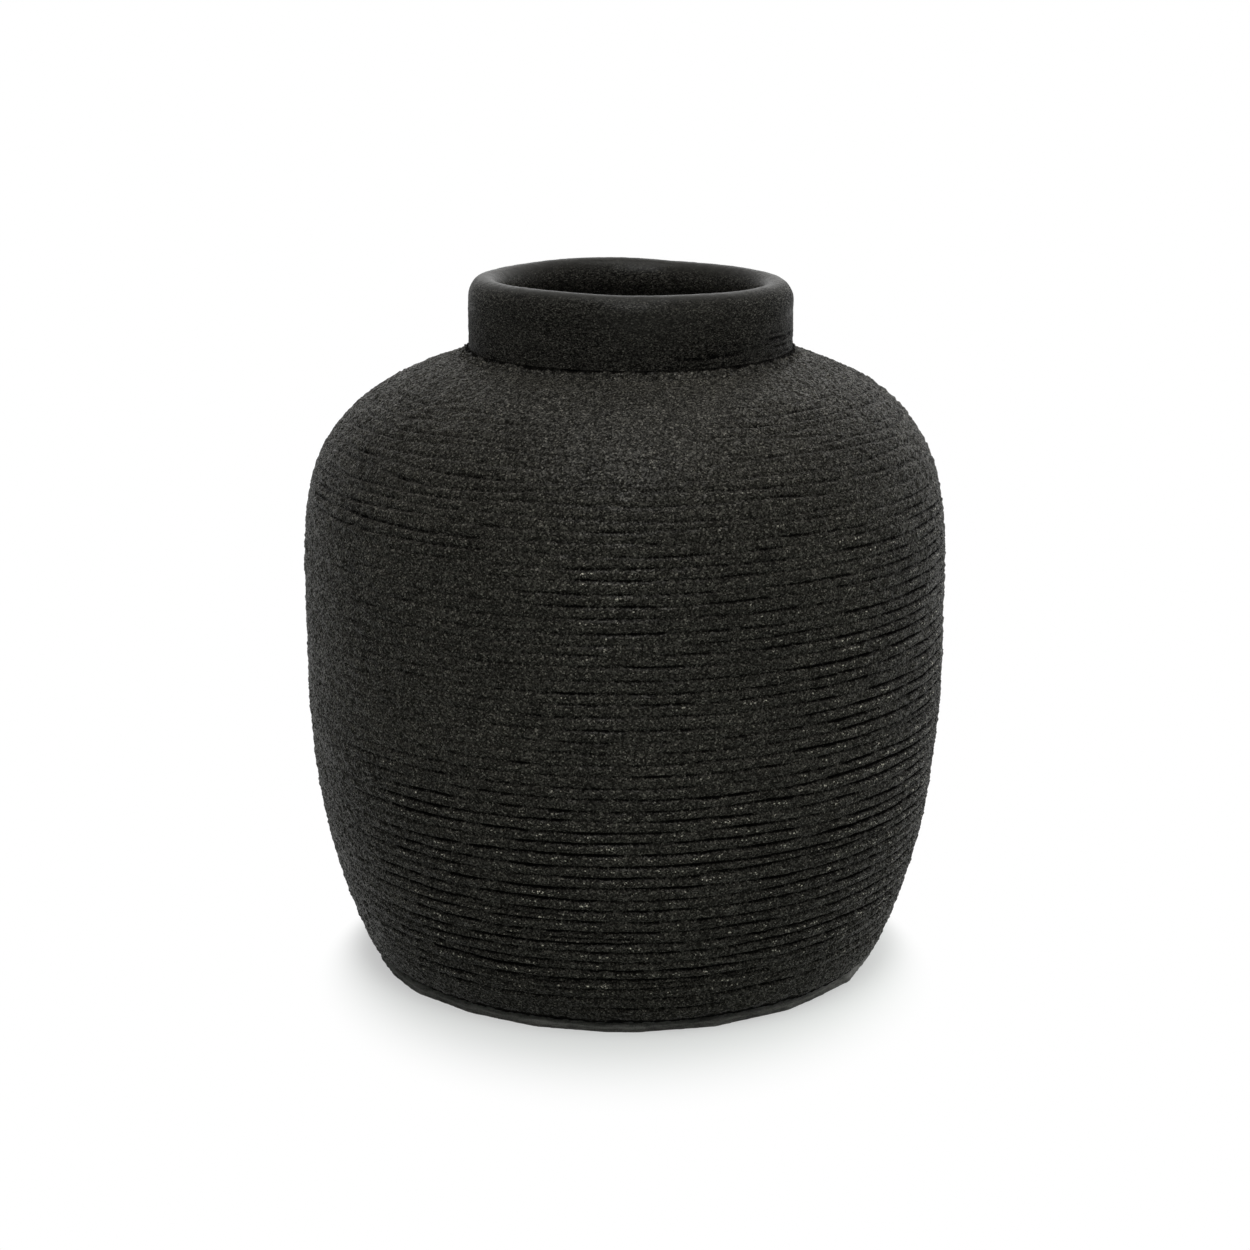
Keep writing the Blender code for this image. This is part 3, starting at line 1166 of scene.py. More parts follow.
@dataclass
class CombMarks:
    """Lines that a toothed rib left as it was drawn round the wet wall."""

    seed: int = 23
    first: float = 0.0205
    pitch: float = 0.0050
    pitch_wander: float = 0.0003
    pitch_limit: float = 2.0
    depth: float = 0.00090
    width: float = 0.00078
    steepness: int = 3
    press_reach: float = 0.007
    lip: float = 0.42
    lip_start: float = 0.5
    lip_drop: float = 0.0014
    lip_tail: float = 0.0017
    # Painted highlight on the lip below a line, and the reach of the painted shade round the line
    lip_highlight_share: float = 0.6
    shade_reach: float = 0.00125
    wander: float = 0.00024
    wander_bumps: int = 9
    shiver_share: float = 0.4
    shiver_bumps: int = 45
    break_share: float = 0.24
    break_bumps: int = 30
    break_limits: Span = (0.25, 1.3)
    chatter_mean: float = 0.95
    chatter_share: float = 0.22
    chatter_limits: Span = (0.4, 1.5)
    shoulder_bend: Span = (0.205, 0.235)
    shoulder_wander: float = 3.0
    # How much less painted shade the lines get high on the shoulder, and more so on its left
    shoulder_fade: Span = (0.205, 0.232)
    shoulder_soft: float = 0.25
    left_turn: Span = (-95.0, -14.0)
    left_soft_turns: Span = (15.0, 10.0)
    left_fade: Span = (0.188, 0.206)
    left_soft: float = 0.34
    base_gain: float = 0.62
    top_gain: float = 1.4
    back_turn: Span = (95.0, 125.0)
    back_drift: float = 0.16
    back_bumps: int = 5
    back_salts: tuple[int, int] = (7001, 7002)
    sweep_height: float = 0.15
    patches: tuple[CombPatch, ...] = (
        CombPatch((-42, 62), (0.022, 0.112), 0.96),
        CombPatch((28, 96), (0.045, 0.176), 0.94),
        CombPatch((28, 96), (0.176, 0.232), 0.70),
        CombPatch((-14, 32), (0.125, 0.222), 0.62),
        CombPatch((-52, -16), (0.120, 0.215), 0.38),
        CombPatch((-110, -52), (0.000, 0.270), 0.20, soft_turn=10),
        CombPatch((-34, 22), (0.240, 0.300), 0.08, soft_height=0.008),
        CombPatch((-80, -18), (0.210, 0.256), 0.98, soft_height=0.007),
        CombPatch((20, 82), (0.212, 0.258), 0.66, soft_height=0.008),
        CombPatch((-400, 400), (0.262, 0.320), 0.05, soft_height=0.004),
    )
    heel_skip: int = 8
    score_start: Span = (-1.0, 5.0)
    score_end: float = 2.5
    score_wander: float = 0.0002
    score_bumps: int = 40
    scores: tuple[Score, ...] = (
        Score(0.0270, (-31, 31), 0.0009),
        Score(0.0135, (-12, 22), 0.0006),
        Score(0.0345, (-44, -16), 0.0008, -0.0015),
        Score(0.0490, (-26, 4), 0.0007),
        Score(0.0605, (-44, -10), 0.0008, -0.0010),
        Score(0.0785, (12, 58), 0.0009, 0.0010),
        Score(0.0870, (34, 70), 0.0009, 0.0010),
        Score(0.1120, (34, 66), 0.0008),
        Score(0.1240, (44, 72), 0.0008),
        Score(0.0420, (38, 66), 0.0008),
    )

    def _gain(self, height: float) -> np.ndarray:
        """How hard the comb pressed along a line.

        Args:
            height: Height of the line.

        Returns:
            One gain for each column.
        """
        azimuth = azimuths()
        sweep = 2 * math.pi * height / self.sweep_height
        first, second = (ring_noise([self.seed, salt], self.back_bumps) for salt in self.back_salts)
        drift = math.cos(sweep) * first + math.sin(sweep) * second
        behind = eased(np.abs(azimuth), *self.back_turn)
        gain = self.base_gain + behind * self.back_drift * drift
        for patch in self.patches:
            share = patch.share(azimuth, height)
            gain = gain * (1 - share) + patch.gain * share
        return np.clip(gain, 0, self.top_gain)

    def _darkness(self, height: float) -> np.ndarray:
        """How much painted shade a line gets for its depth, which is less on the shoulder.

        Args:
            height: Height of the line.

        Returns:
            One share for each column.
        """
        azimuth = azimuths()
        (start, end), (soft_start, soft_end) = self.left_turn, self.left_soft_turns
        left = eased(azimuth, start - soft_start, start + soft_start)
        left = left * (1 - eased(azimuth, end - soft_end, end + soft_end))
        softer = self.left_soft * left * float(eased(np.array(height), *self.left_fade))
        return 1 - self.shoulder_soft * float(eased(np.array(height), *self.shoulder_fade)) - softer

    def cut(self, skin: Skin, chatter: np.ndarray) -> None:
        """Press the comb's even lines into a skin, and then the deeper scores.

        Args:
            skin: Skin of the jar's body.
            chatter: Noise at the size of a few sand grains, rows by columns.
        """
        chance = np.random.default_rng(self.seed)
        centre, number = self.first, 0
        while centre < skin.path[-1]:
            height = float(np.interp(centre, skin.path, skin.height))
            bend = 1 + self.shoulder_wander * float(eased(np.array(height), *self.shoulder_bend))
            sway = ring_noise([self.seed, number, 1], self.wander_bumps)
            shiver = ring_noise([self.seed, number, 2], self.shiver_bumps)
            centres = centre + self.wander * (bend * sway + self.shiver_share * shiver)
            breaks = 1 + self.break_share * ring_noise([self.seed, number, 3], self.break_bumps)
            depths = self.depth * np.clip(breaks, *self.break_limits) * self._gain(height)
            self._press(skin, centres, depths, chatter, self._darkness(height))
            wander = np.clip(chance.standard_normal(), -self.pitch_limit, self.pitch_limit)
            centre, number = centre + self.pitch + self.pitch_wander * float(wander), number + 1
        for number, score in enumerate(self.scores):
            self._score(skin, number, score, chatter)

    def _score(self, skin: Skin, number: int, score: Score, chatter: np.ndarray) -> None:
        """Press one deeper line.

        Args:
            skin: Skin to change.
            number: Which score it is.
            score: Where it runs.
            chatter: Noise at the size of a few sand grains.
        """
        azimuth = azimuths()
        start, end = score.azimuth
        before, after = self.score_start
        share = eased(azimuth, start + before, start + after)
        share = share * (1 - eased(azimuth, end - self.score_end, end))
        above_heel = slice(self.heel_skip, None)
        centre = float(np.interp(score.height, skin.height[above_heel], skin.path[above_heel]))
        climb = score.climb * (azimuth - start) / (end - start)
        waver = self.score_wander * ring_noise([self.seed, number, 4], self.score_bumps)
        self._press(skin, centre + climb + waver, score.depth * share, chatter, np.ones(COLUMNS))

    def _press(
        self,
        skin: Skin,
        centres: np.ndarray,
        depths: np.ndarray,
        chatter: np.ndarray,
        darkness: np.ndarray,
    ) -> None:
        """Press one line, with the lip of clay below it that slopes off downwards.

        Args:
            skin: Skin to change.
            centres: Path of the line's middle for each column.
            depths: Depth of the line for each column.
            chatter: Noise at the size of a few sand grains.
            darkness: How much painted shade the line gets for its depth, for each column.
        """
        low, high = centres.min() - self.press_reach, centres.max() + self.press_reach
        rows = np.nonzero((skin.path > low) & (skin.path < high))[0]
        offset = skin.path[rows][:, None] - centres[None, :]
        broken = self.chatter_mean + self.chatter_share * chatter[rows]
        press = depths[None, :] * np.clip(broken, *self.chatter_limits)
        line = np.exp(-(np.abs(offset / self.width) ** self.steepness))
        tail = np.exp(-np.clip(-offset - self.lip_drop, 0, None) / self.lip_tail)
        ridge = eased(-offset, self.lip_start * self.width, self.lip_drop) * tail
        skin.lift[rows] += press * (self.lip * ridge - line)
        # Mark for the finish: painted shade over the line and painted highlight on the lip below it
        shade = np.clip(1 - np.abs(offset) / self.shade_reach, 0, 1)
        mark = darkness[None, :] * press / self.depth * (shade - self.lip_highlight_share * ridge)
        skin.painted_light[rows] = np.clip(skin.painted_light[rows] + mark, *PAINTED_LIGHT_LIMITS)


@dataclass
class JarBody:
    """Floor slab, three wall courses and shoulder under one combed skin."""

    line: JarLine
    comb: CombMarks = field(default_factory=CombMarks)
    courses: tuple[str, ...] = ("lower_wall", "belly_wall", "upper_wall")
    seed: int = 5
    sand: Lumps = Lumps(0.0011, 0.00015, 1)
    crumbs: Lumps = Lumps(0.0030, 0.00014, 2, 1.3)
    lumps: Lumps = Lumps(0.012, 0.00013, 3, 1.8)
    sway: Lumps = Lumps(0.065, 0.00040, 4, 1.6)
    mean_girth: float = 0.92
    coil_reach: float = 0.0047
    coil_edge: float = 0.0006
    coil_recess: float = 0.0006
    flat_foot: float = 0.004
    sway_start: Span = (0.004, 0.020)
    pad_shade: Span = (0.0062, 0.0082)
    heel_rows: int = 26
    heel_samples: int = 200
    under_hub: float = 0.015
    under_rows: int = 6
    floor_hub: float = 0.012
    floor_rows: int = 9
    floor_margin: float = 0.002
    dome_rows: int = 9

    def __post_init__(self) -> None:
        """Set the heights of the seams and make the skin."""
        low, high = self.line.floor_seam, self.line.shoulder_seam
        self.seams = np.linspace(low, high, len(self.courses) + 1)
        self.skin = self._skin()
        self.points = self.skin.points()
        self.normals = Skin.normals(self.points)

    def _heel(self) -> np.ndarray:
        """Rounded heel, from under the foot up to the first seam.

        Returns:
            Radius and height points.
        """
        line = self.line
        foot, round_off = line.foot_height, line.heel_round
        spread = line.radius_at(foot + round_off) - line.radius_at(foot)
        lean = math.atan(float(spread) / round_off)
        end = foot + round_off * (1 - math.sin(lean))
        centre = float(line.radius_at(end)) - round_off * math.cos(lean)
        turn = np.linspace(-math.pi / 2, -lean, self.heel_samples)
        radii, heights = centre + round_off * np.cos(turn), foot + round_off * (1 + np.sin(turn))
        rise = np.linspace(end, line.floor_seam, self.heel_samples)[1:]
        radii = np.concatenate([radii, line.radius_at(rise)])
        return np.stack([radii, np.concatenate([heights, rise])], axis=-1)

    def _profile(self) -> list[np.ndarray]:
        """Parts of the outside, split at the seams.

        Returns:
            One set of radius and height points for each section.
        """
        line = self.line
        parts = [self._heel()]
        for low, high in zip(self.seams, self.seams[1:]):
            heights = np.linspace(low, high, PROFILE_SAMPLES)
            parts.append(np.stack([line.radius_at(heights), heights], axis=-1))
        start = math.acos(float(line.radius_at(line.shoulder_seam)) / line.belly_radius)
        end = math.acos(line.mouth / line.belly_radius)
        radii = line.belly_radius * np.cos(np.linspace(start, end, PROFILE_SAMPLES))
        parts.append(np.stack([radii, line.height_at(radii)], axis=-1))
        return parts

    def _skin(self) -> Skin:
        """Make the outside of the jar up to the neck.

        Returns:
            The displaced skin.
        """
        line = self.line
        rows = [self.heel_rows] + [SECTION_ROWS] * (len(self.courses) + 1)
        self.marks = np.concatenate([[0], np.cumsum(rows)])
        skin = Skin.through(line, self._profile(), rows)
        spacing = 2 * math.pi * self.mean_girth * line.belly_radius / COLUMNS
        grain = Grain(float(skin.path[-1]), spacing, self.seed)
        crumbs = grain.over(skin.path, self.crumbs)
        self.comb.cut(skin, crumbs)
        off_foot = eased(skin.path, *self.sway_start)[:, None]
        skin.lift += self.sand.amount * grain.over(skin.path, self.sand) + self.crumbs.amount * crumbs
        skin.lift += self.lumps.amount * grain.over(skin.path, self.lumps)
        skin.lift += self.sway.amount * off_foot * grain.over(skin.path, self.sway)
        out = skin.radius - line.mouth
        under_coil = 1 - eased(out, self.coil_reach - self.coil_edge, self.coil_reach)
        under_coil = np.where(skin.height > line.shoulder_seam, under_coil, 0)[:, None]
        skin.lift = skin.lift * (1 - under_coil) - self.coil_recess * under_coil
        # Painted shadow: a dark line low on the heel, where it meets the pad
        pad_contact_shade = 1 - eased(skin.path, *self.pad_shade)[:, None]
        skin.painted_light = np.clip(skin.painted_light + pad_contact_shade, *PAINTED_LIGHT_LIMITS)
        skin.lift *= eased(skin.path, 0.0, self.flat_foot)[:, None]
        return skin

    def _section(self, number: int) -> tuple[list[Ring], dict[str, np.ndarray]]:
        """Share of the skin that one section has.

        Args:
            number: Which section, counted from the floor slab.

        Returns:
            Rings, and what the mesh stores about them.
        """
        rows = slice(self.marks[number], self.marks[number + 1] + 1)
        return list(self.points[rows]), self.skin.stored(rows, self.normals)

    def floor_slab(self) -> TurnedMesh:
        """Round floor with its rounded heel.

        Returns:
            The mesh to build.
        """
        line = self.line
        rings, stored = self._section(0)
        edge = float(self.skin.radius[0]) - self.floor_margin
        reaches = np.linspace(self.under_hub, edge, self.under_rows)
        below = [(reach, line.foot_height) for reach in reaches]
        above = line.cap_above(line.floor_seam)
        edge = above[-1][0] - self.floor_margin
        reaches = np.linspace(edge, self.floor_hub, self.floor_rows)
        above += [(reach, line.floor_top) for reach in reaches]
        poles = ((0.0, 0.0, line.foot_height), (0.0, 0.0, line.floor_top))
        rings = line.rings(below) + rings + line.rings(above)
        return TurnedMesh("jar_floor_slab", rings, poles, len(below), **stored)

    def course(self, number: int) -> TurnedMesh:
        """One wall course.

        Args:
            number: Which course, counted from 0 at the bottom.

        Returns:
            The mesh to build.
        """
        line = self.line
        rings, stored = self._section(number + 1)
        low, high = self.seams[number], self.seams[number + 1]
        back = line.cap_above(high)
        top, base = back[-1][1], low + line.lap + line.slip / 2
        back += line.inner_curve(top, base, INSIDE_ROWS)
        back += line.cap_below(low)
        return TurnedMesh("jar_" + self.courses[number], rings + line.rings(back), **stored)

    def shoulder(self) -> TurnedMesh:
        """Domed shoulder with the seat that takes the neck.

        Returns:
            The mesh to build.
        """
        line = self.line
        rings, stored = self._section(len(self.courses) + 1)
        base = line.shoulder_seam + line.lap + line.slip / 2
        girth = line.belly_radius - line.wall
        start = math.acos(line.neck_inside / girth)
        end = math.acos(float(line.radius_at(base, line.wall)) / girth)
        radii = girth * np.cos(np.linspace(start, end, self.dome_rows))
        back = [(line.mouth, line.seat_height), (line.neck_inside, line.seat_height)]
        back += list(zip(radii, line.height_at(radii, line.wall)))
        back += line.cap_below(line.shoulder_seam)
        return TurnedMesh("jar_shoulder", rings + line.rings(back), **stored)

    def build(self, material: bpy.types.Material) -> None:
        """Build the sections from the floor up.

        Args:
            material: Finish of the wall clay.
        """
        dress(self.floor_slab().build(), material, "floor_slab")
        for number, node in enumerate(self.courses):
            dress(self.course(number).build(), material, node)
        dress(self.shoulder().build(), material, "shoulder")


@dataclass
class JarNeck:
    """Straight collar and rolled rim under one wiped skin."""

    line: JarLine
    seed: int = 41
    collar_rows: int = 36
    rim_rows: int = 60
    inside_rows: int = 8
    crown_samples: int = 400
    lip_samples: int = 120
    lip_reach: float = 0.0090
    lip_tuck: float = 0.0004
    lip_ease: float = 1.05
    lip_feather: float = 0.0001
    sand: Lumps = Lumps(0.0010, 0.00004, 1)
    crumbs: Lumps = Lumps(0.0026, 0.00007, 2, 1.3)
    lumps: Lumps = Lumps(0.009, 0.00010, 3, 2.5)
    sway: Lumps = Lumps(0.045, 0.00025, 4, 1.5)
    smooth: float = 0.55
    smooth_start: Span = (0.014, 0.026)
    plain_seat: Span = (0.0018, 0.0045)
    wipes: Lumps = Lumps(0.014, 0.12, 6, 2.5)
    wiped_side: float = 0.10
    side_start: Span = (0.004, 0.021)
    wiped_crest: float = 0.80
    crest_start: Span = (0.031, 0.038)
    crest_end: Span = (0.043, 0.050)
    ribs: tuple[float, ...] = (0.0062, 0.0089, 0.0112, 0.0138, 0.0163, 0.0192)
    rib_depth: float = 0.00045
    rib_width: float = 0.0007
    rib_shade: float = 0.75
    rib_wander: float = 0.0004
    rib_bumps: int = 6
    rib_fade: float = 0.75
    rib_fade_start: Span = (0.009, 0.019)
    rib_least: float = 0.3
    rib_right: float = 0.9
    right_start: Span = (6.0, 34.0)
    right_end: Span = (100.0, 140.0)
    break_mean: float = 0.7
    break_share: float = 0.4
    break_bumps: int = 18
    break_limits: Span = (0.0, 1.2)
    chatter_mean: float = 0.9
    chatter_share: float = 0.3
    chatter_limits: Span = (0.2, 1.5)

    def __post_init__(self) -> None:
        """Make the skin."""
        self.skin = self._skin()
        self.points = self.skin.points()
        self.normals = Skin.normals(self.points)

    def _profile(self) -> list[np.ndarray]:
        """Outside of the collar, and the rim over its crown and down its inside.

        Returns:
            Radius and height points of the two.
        """
        line = self.line
        seam = (line.neck_radius, line.rim_seam)
        collar = np.array([(line.neck_radius, line.seat_height + line.slip), seam])
        half = line.rim_width / 2
        turn = np.linspace(0, math.pi, self.crown_samples)
        radii = line.neck_radius - half + half * np.cos(turn)
        crown = np.stack([radii, line.rim_spring + line.rim_crown * np.sin(turn)], axis=-1)
        inner = line.neck_radius - line.rim_width
        down = np.linspace(0, 1, self.lip_samples)[1:]
        radii = inner + (line.neck_inside - self.lip_tuck - inner) * eased(down, 0, self.lip_ease)
        lip = np.stack([radii, line.rim_spring - self.lip_reach * down], axis=-1)
        return [collar, np.concatenate([[seam], crown, lip])]

    def _skin(self) -> Skin:
        """Make the neck's outside, over the rim and down its inside.

        Returns:
            The displaced skin.
        """
        line = self.line
        skin = Skin.through(line, self._profile(), [self.collar_rows, self.rim_rows])
        path = skin.path
        grain = Grain(float(path[-1]), 2 * math.pi * line.neck_radius / COLUMNS, self.seed)
        rough = 1 - self.smooth * eased(path, *self.smooth_start)[:, None]
        crumbs = grain.over(path, self.crumbs)
        skin.lift += rough * self.sand.amount * grain.over(path, self.sand)
        skin.lift += rough * self.crumbs.amount * crumbs
        skin.lift += self.lumps.amount * grain.over(path, self.lumps)
        skin.lift += self.sway.amount * grain.over(path, self.sway)
        self._ribs(skin, crumbs)
        side = self.wiped_side * eased(path, *self.side_start)
        crest = self.wiped_crest * (eased(path, *self.crest_start) - eased(path, *self.crest_end))
        patchy = self.wipes.amount * grain.over(path, self.wipes)
        skin.wiped_and_lit = np.clip((side + crest)[:, None] + patchy, 0, 1)
        skin.lift *= eased(path, *self.plain_seat)[:, None]
        return skin

    def _ribs(self, skin: Skin, chatter: np.ndarray) -> None:
        """Press in the faint lines that wiping left low on the neck.

        Args:
            skin: Skin to change.
            chatter: Noise at the size of a few sand grains.
        """
        azimuth = azimuths()
        right = eased(azimuth, *self.right_start) * (1 - eased(azimuth, *self.right_end))
        broken = np.clip(self.chatter_mean + self.chatter_share * chatter, *self.chatter_limits)
        for number, path in enumerate(self.ribs):
            centres = path + self.rib_wander * ring_noise([self.seed, number, 1], self.rib_bumps)
            breaks = ring_noise([self.seed, number, 2], self.break_bumps)
            breaks = np.clip(self.break_mean + self.break_share * breaks, *self.break_limits)
            fade = 1 - self.rib_fade * float(eased(np.array(path), *self.rib_fade_start))
            shares = breaks * fade * (self.rib_least + self.rib_right * right)
            offset = skin.path[:, None] - centres[None, :]
            press = shares[None, :] * np.exp(-((offset / self.rib_width) ** 2)) * broken
            skin.lift -= self.rib_depth * press
            # Painted shade in each rib
            skin.painted_light = np.clip(skin.painted_light + self.rib_shade * press, 0, 1)

    def collar(self) -> TurnedMesh:
        """Straight neck, let into the shoulder.

        Returns:
            The mesh to build.
        """
        line = self.line
        rows = slice(0, self.collar_rows + 1)
        outer = line.rim_seam - line.slip / 2
        inner = outer + line.lap
        middle = line.neck_radius - (line.neck_wall + line.slip) / 2
        base = line.seat_height + line.slip
        back = [(line.neck_radius - line.cap_inset, outer), (middle, outer), (middle, inner)]
        inside = np.linspace(inner, base, self.inside_rows)
        back += [(line.neck_inside, height) for height in inside]
        rings = list(self.points[rows]) + line.rings(back)
        return TurnedMesh("jar_neck_collar", rings, **self.skin.stored(rows, self.normals))

    def rim(self) -> TurnedMesh:
        """Rolled rim, with its inner edge smoothed down over the collar.

        Returns:
            The mesh to build.
        """
        line = self.line
        rows = slice(self.collar_rows, None)
        outer = line.rim_seam + line.slip / 2
        inner = outer + line.lap
        middle = line.neck_radius - (line.neck_wall - line.slip) / 2
        feather = line.neck_inside - self.lip_feather
        back = [(feather, line.rim_spring - self.lip_reach), (feather, inner), (middle, inner)]
        back += [(middle, outer), (line.neck_radius - line.cap_inset, outer)]
        rings = list(self.points[rows]) + line.rings(back)
        return TurnedMesh("jar_rim_roll", rings, **self.skin.stored(rows, self.normals))

    def build(self, collar: bpy.types.Material, rim: bpy.types.Material) -> None:
        """Build the collar and the rim.

        Args:
            collar: Finish of the neck's clay.
            rim: Finish of the rim's clay.
        """
        dress(self.collar().build(), collar, "neck_collar")
        dress(self.rim().build(), rim, "rim_roll")


@dataclass
class SeamCoils:
    """Soft coils pressed into the corners at the neck and at the floor."""

    line: JarLine
    seed: int = 71
    step: float = 0.0003
    edge_fade: float = 0.6
    neck_top: tuple[Span, ...] = (
        (0.0047, -0.0001),
        (0.0036, 0.0003),
        (0.0024, 0.0008),
        (0.0015, 0.0012),
        (0.0008, 0.0015),
        (0.0003, 0.0019),
        (0.0001, 0.0024),
    )
    neck_under: tuple[Span, ...] = (
        (0.0001, -0.0004),
        (0.0018, -0.00045),
        (0.0040, -0.0004),
    )
    neck_rows: int = 18
    neck_lumps: tuple[Lumps, ...] = (
        Lumps(0.0024, 0.00024, 1),
        Lumps(0.0011, 0.00032, 2),
        Lumps(0.0070, 0.000144, 3),
    )
    neck_lift: Span = (-0.0007, 0.0011)
    # Painted shade in the corner by the neck, patchy, and painted light that follows the coil's lumps
    neck_shade: float = 0.85
    neck_patches: Lumps = Lumps(0.0030, 0.4, 4)
    neck_corner: Span = (0.0004, 0.0013)
    neck_light_limits: Span = (-0.6, 1.0)
    shade_per_drop: float = 500.0
    floor_leg: float = 0.0070
    floor_sink: float = 0.0028
    floor_rows: int = 14
    floor_samples: int = 60
    floor_lumps: Lumps = Lumps(0.006, 0.00025, 5)

    def _on_shoulder(self, places: Sequence[Span]) -> Outline:
        """Turn places beside the neck and above the shoulder into radius and height."""
        radii = [self.line.mouth + out for out, _ in places]
        return [(r, float(self.line.height_at(r)) + up) for r, (_, up) in zip(radii, places)]

    def _rough(self, skin: Skin, lumps: Lumps) -> np.ndarray:
        """Lumps on a coil, fading out at its two edges.

        Args:
            skin: The coil's skin.
            lumps: The lumps.

        Returns:
            Rows by columns.
        """
        spacing = 2 * math.pi * float(skin.radius.mean()) / COLUMNS
        grain = Grain(float(skin.path[-1]), spacing, self.seed, self.step)
        inside = np.clip(np.sin(math.pi * skin.path / skin.path[-1]), 0, 1)[:, None]
        return lumps.amount * inside**self.edge_fade * grain.over(skin.path, lumps)

    def neck_coil(self) -> TurnedMesh:
        """Crumbly coil between the neck and the shoulder.

        Returns:
            The mesh to build.
        """
        top = np.array(self._on_shoulder(self.neck_top))
        skin = Skin.through(self.line, [top], [self.neck_rows])
        for lumps in self.neck_lumps:
            skin.lift += self._rough(skin, lumps)
        skin.lift = np.clip(skin.lift, *self.neck_lift)
        # Painted shade in the corner against the neck and in the coil's hollows, and painted
        # highlight on its raised crumbs
        corner = 1 - eased(skin.radius - self.line.mouth, *self.neck_corner)[:, None]
        shade = corner * (self.neck_shade + self._rough(skin, self.neck_patches))
        skin.painted_light = np.clip(shade - self.shade_per_drop * skin.lift, *self.neck_light_limits)
        points = skin.points()
        under = self.line.rings(self._on_shoulder(self.neck_under))
        stored = skin.stored(slice(None), Skin.normals(points))
        return TurnedMesh("jar_neck_seam_coil", list(points) + under, **stored)

    def floor_coil(self) -> TurnedMesh:
        """Coil in the inside corner between floor and wall.

        Returns:
            The mesh to build.
        """
        line = self.line
        base = line.floor_top + line.slip
        head = base + self.floor_leg
        foot = float(line.radius_at(base, line.wall)) - line.slip
        low = np.array((foot - self.floor_leg, base))
        sunk = np.array((foot - self.floor_sink / 2, base + self.floor_sink / 2))
        high = np.array((float(line.radius_at(head, line.wall)) - line.slip, head))
        share = np.linspace(0, 1, self.floor_samples)[:, None]
        face = (1 - share) ** 2 * low + 2 * share * (1 - share) * sunk + share**2 * high
        skin = Skin.through(line, [face], [self.floor_rows])
        skin.lift -= np.abs(self._rough(skin, self.floor_lumps))
        back = line.rings([(foot, base)])
        return TurnedMesh("jar_floor_seam_coil", list(skin.points()[::-1]) + back)

    def build(self, neck: bpy.types.Material, floor: bpy.types.Material) -> None:
        """Build the two coils.

        Args:
            neck: Finish of the neck coil.
            floor: Finish of the floor coil.
        """
        dress(self.neck_coil().build(), neck, "neck_seam_coil")
        dress(self.floor_coil().build(), floor, "floor_seam_coil")


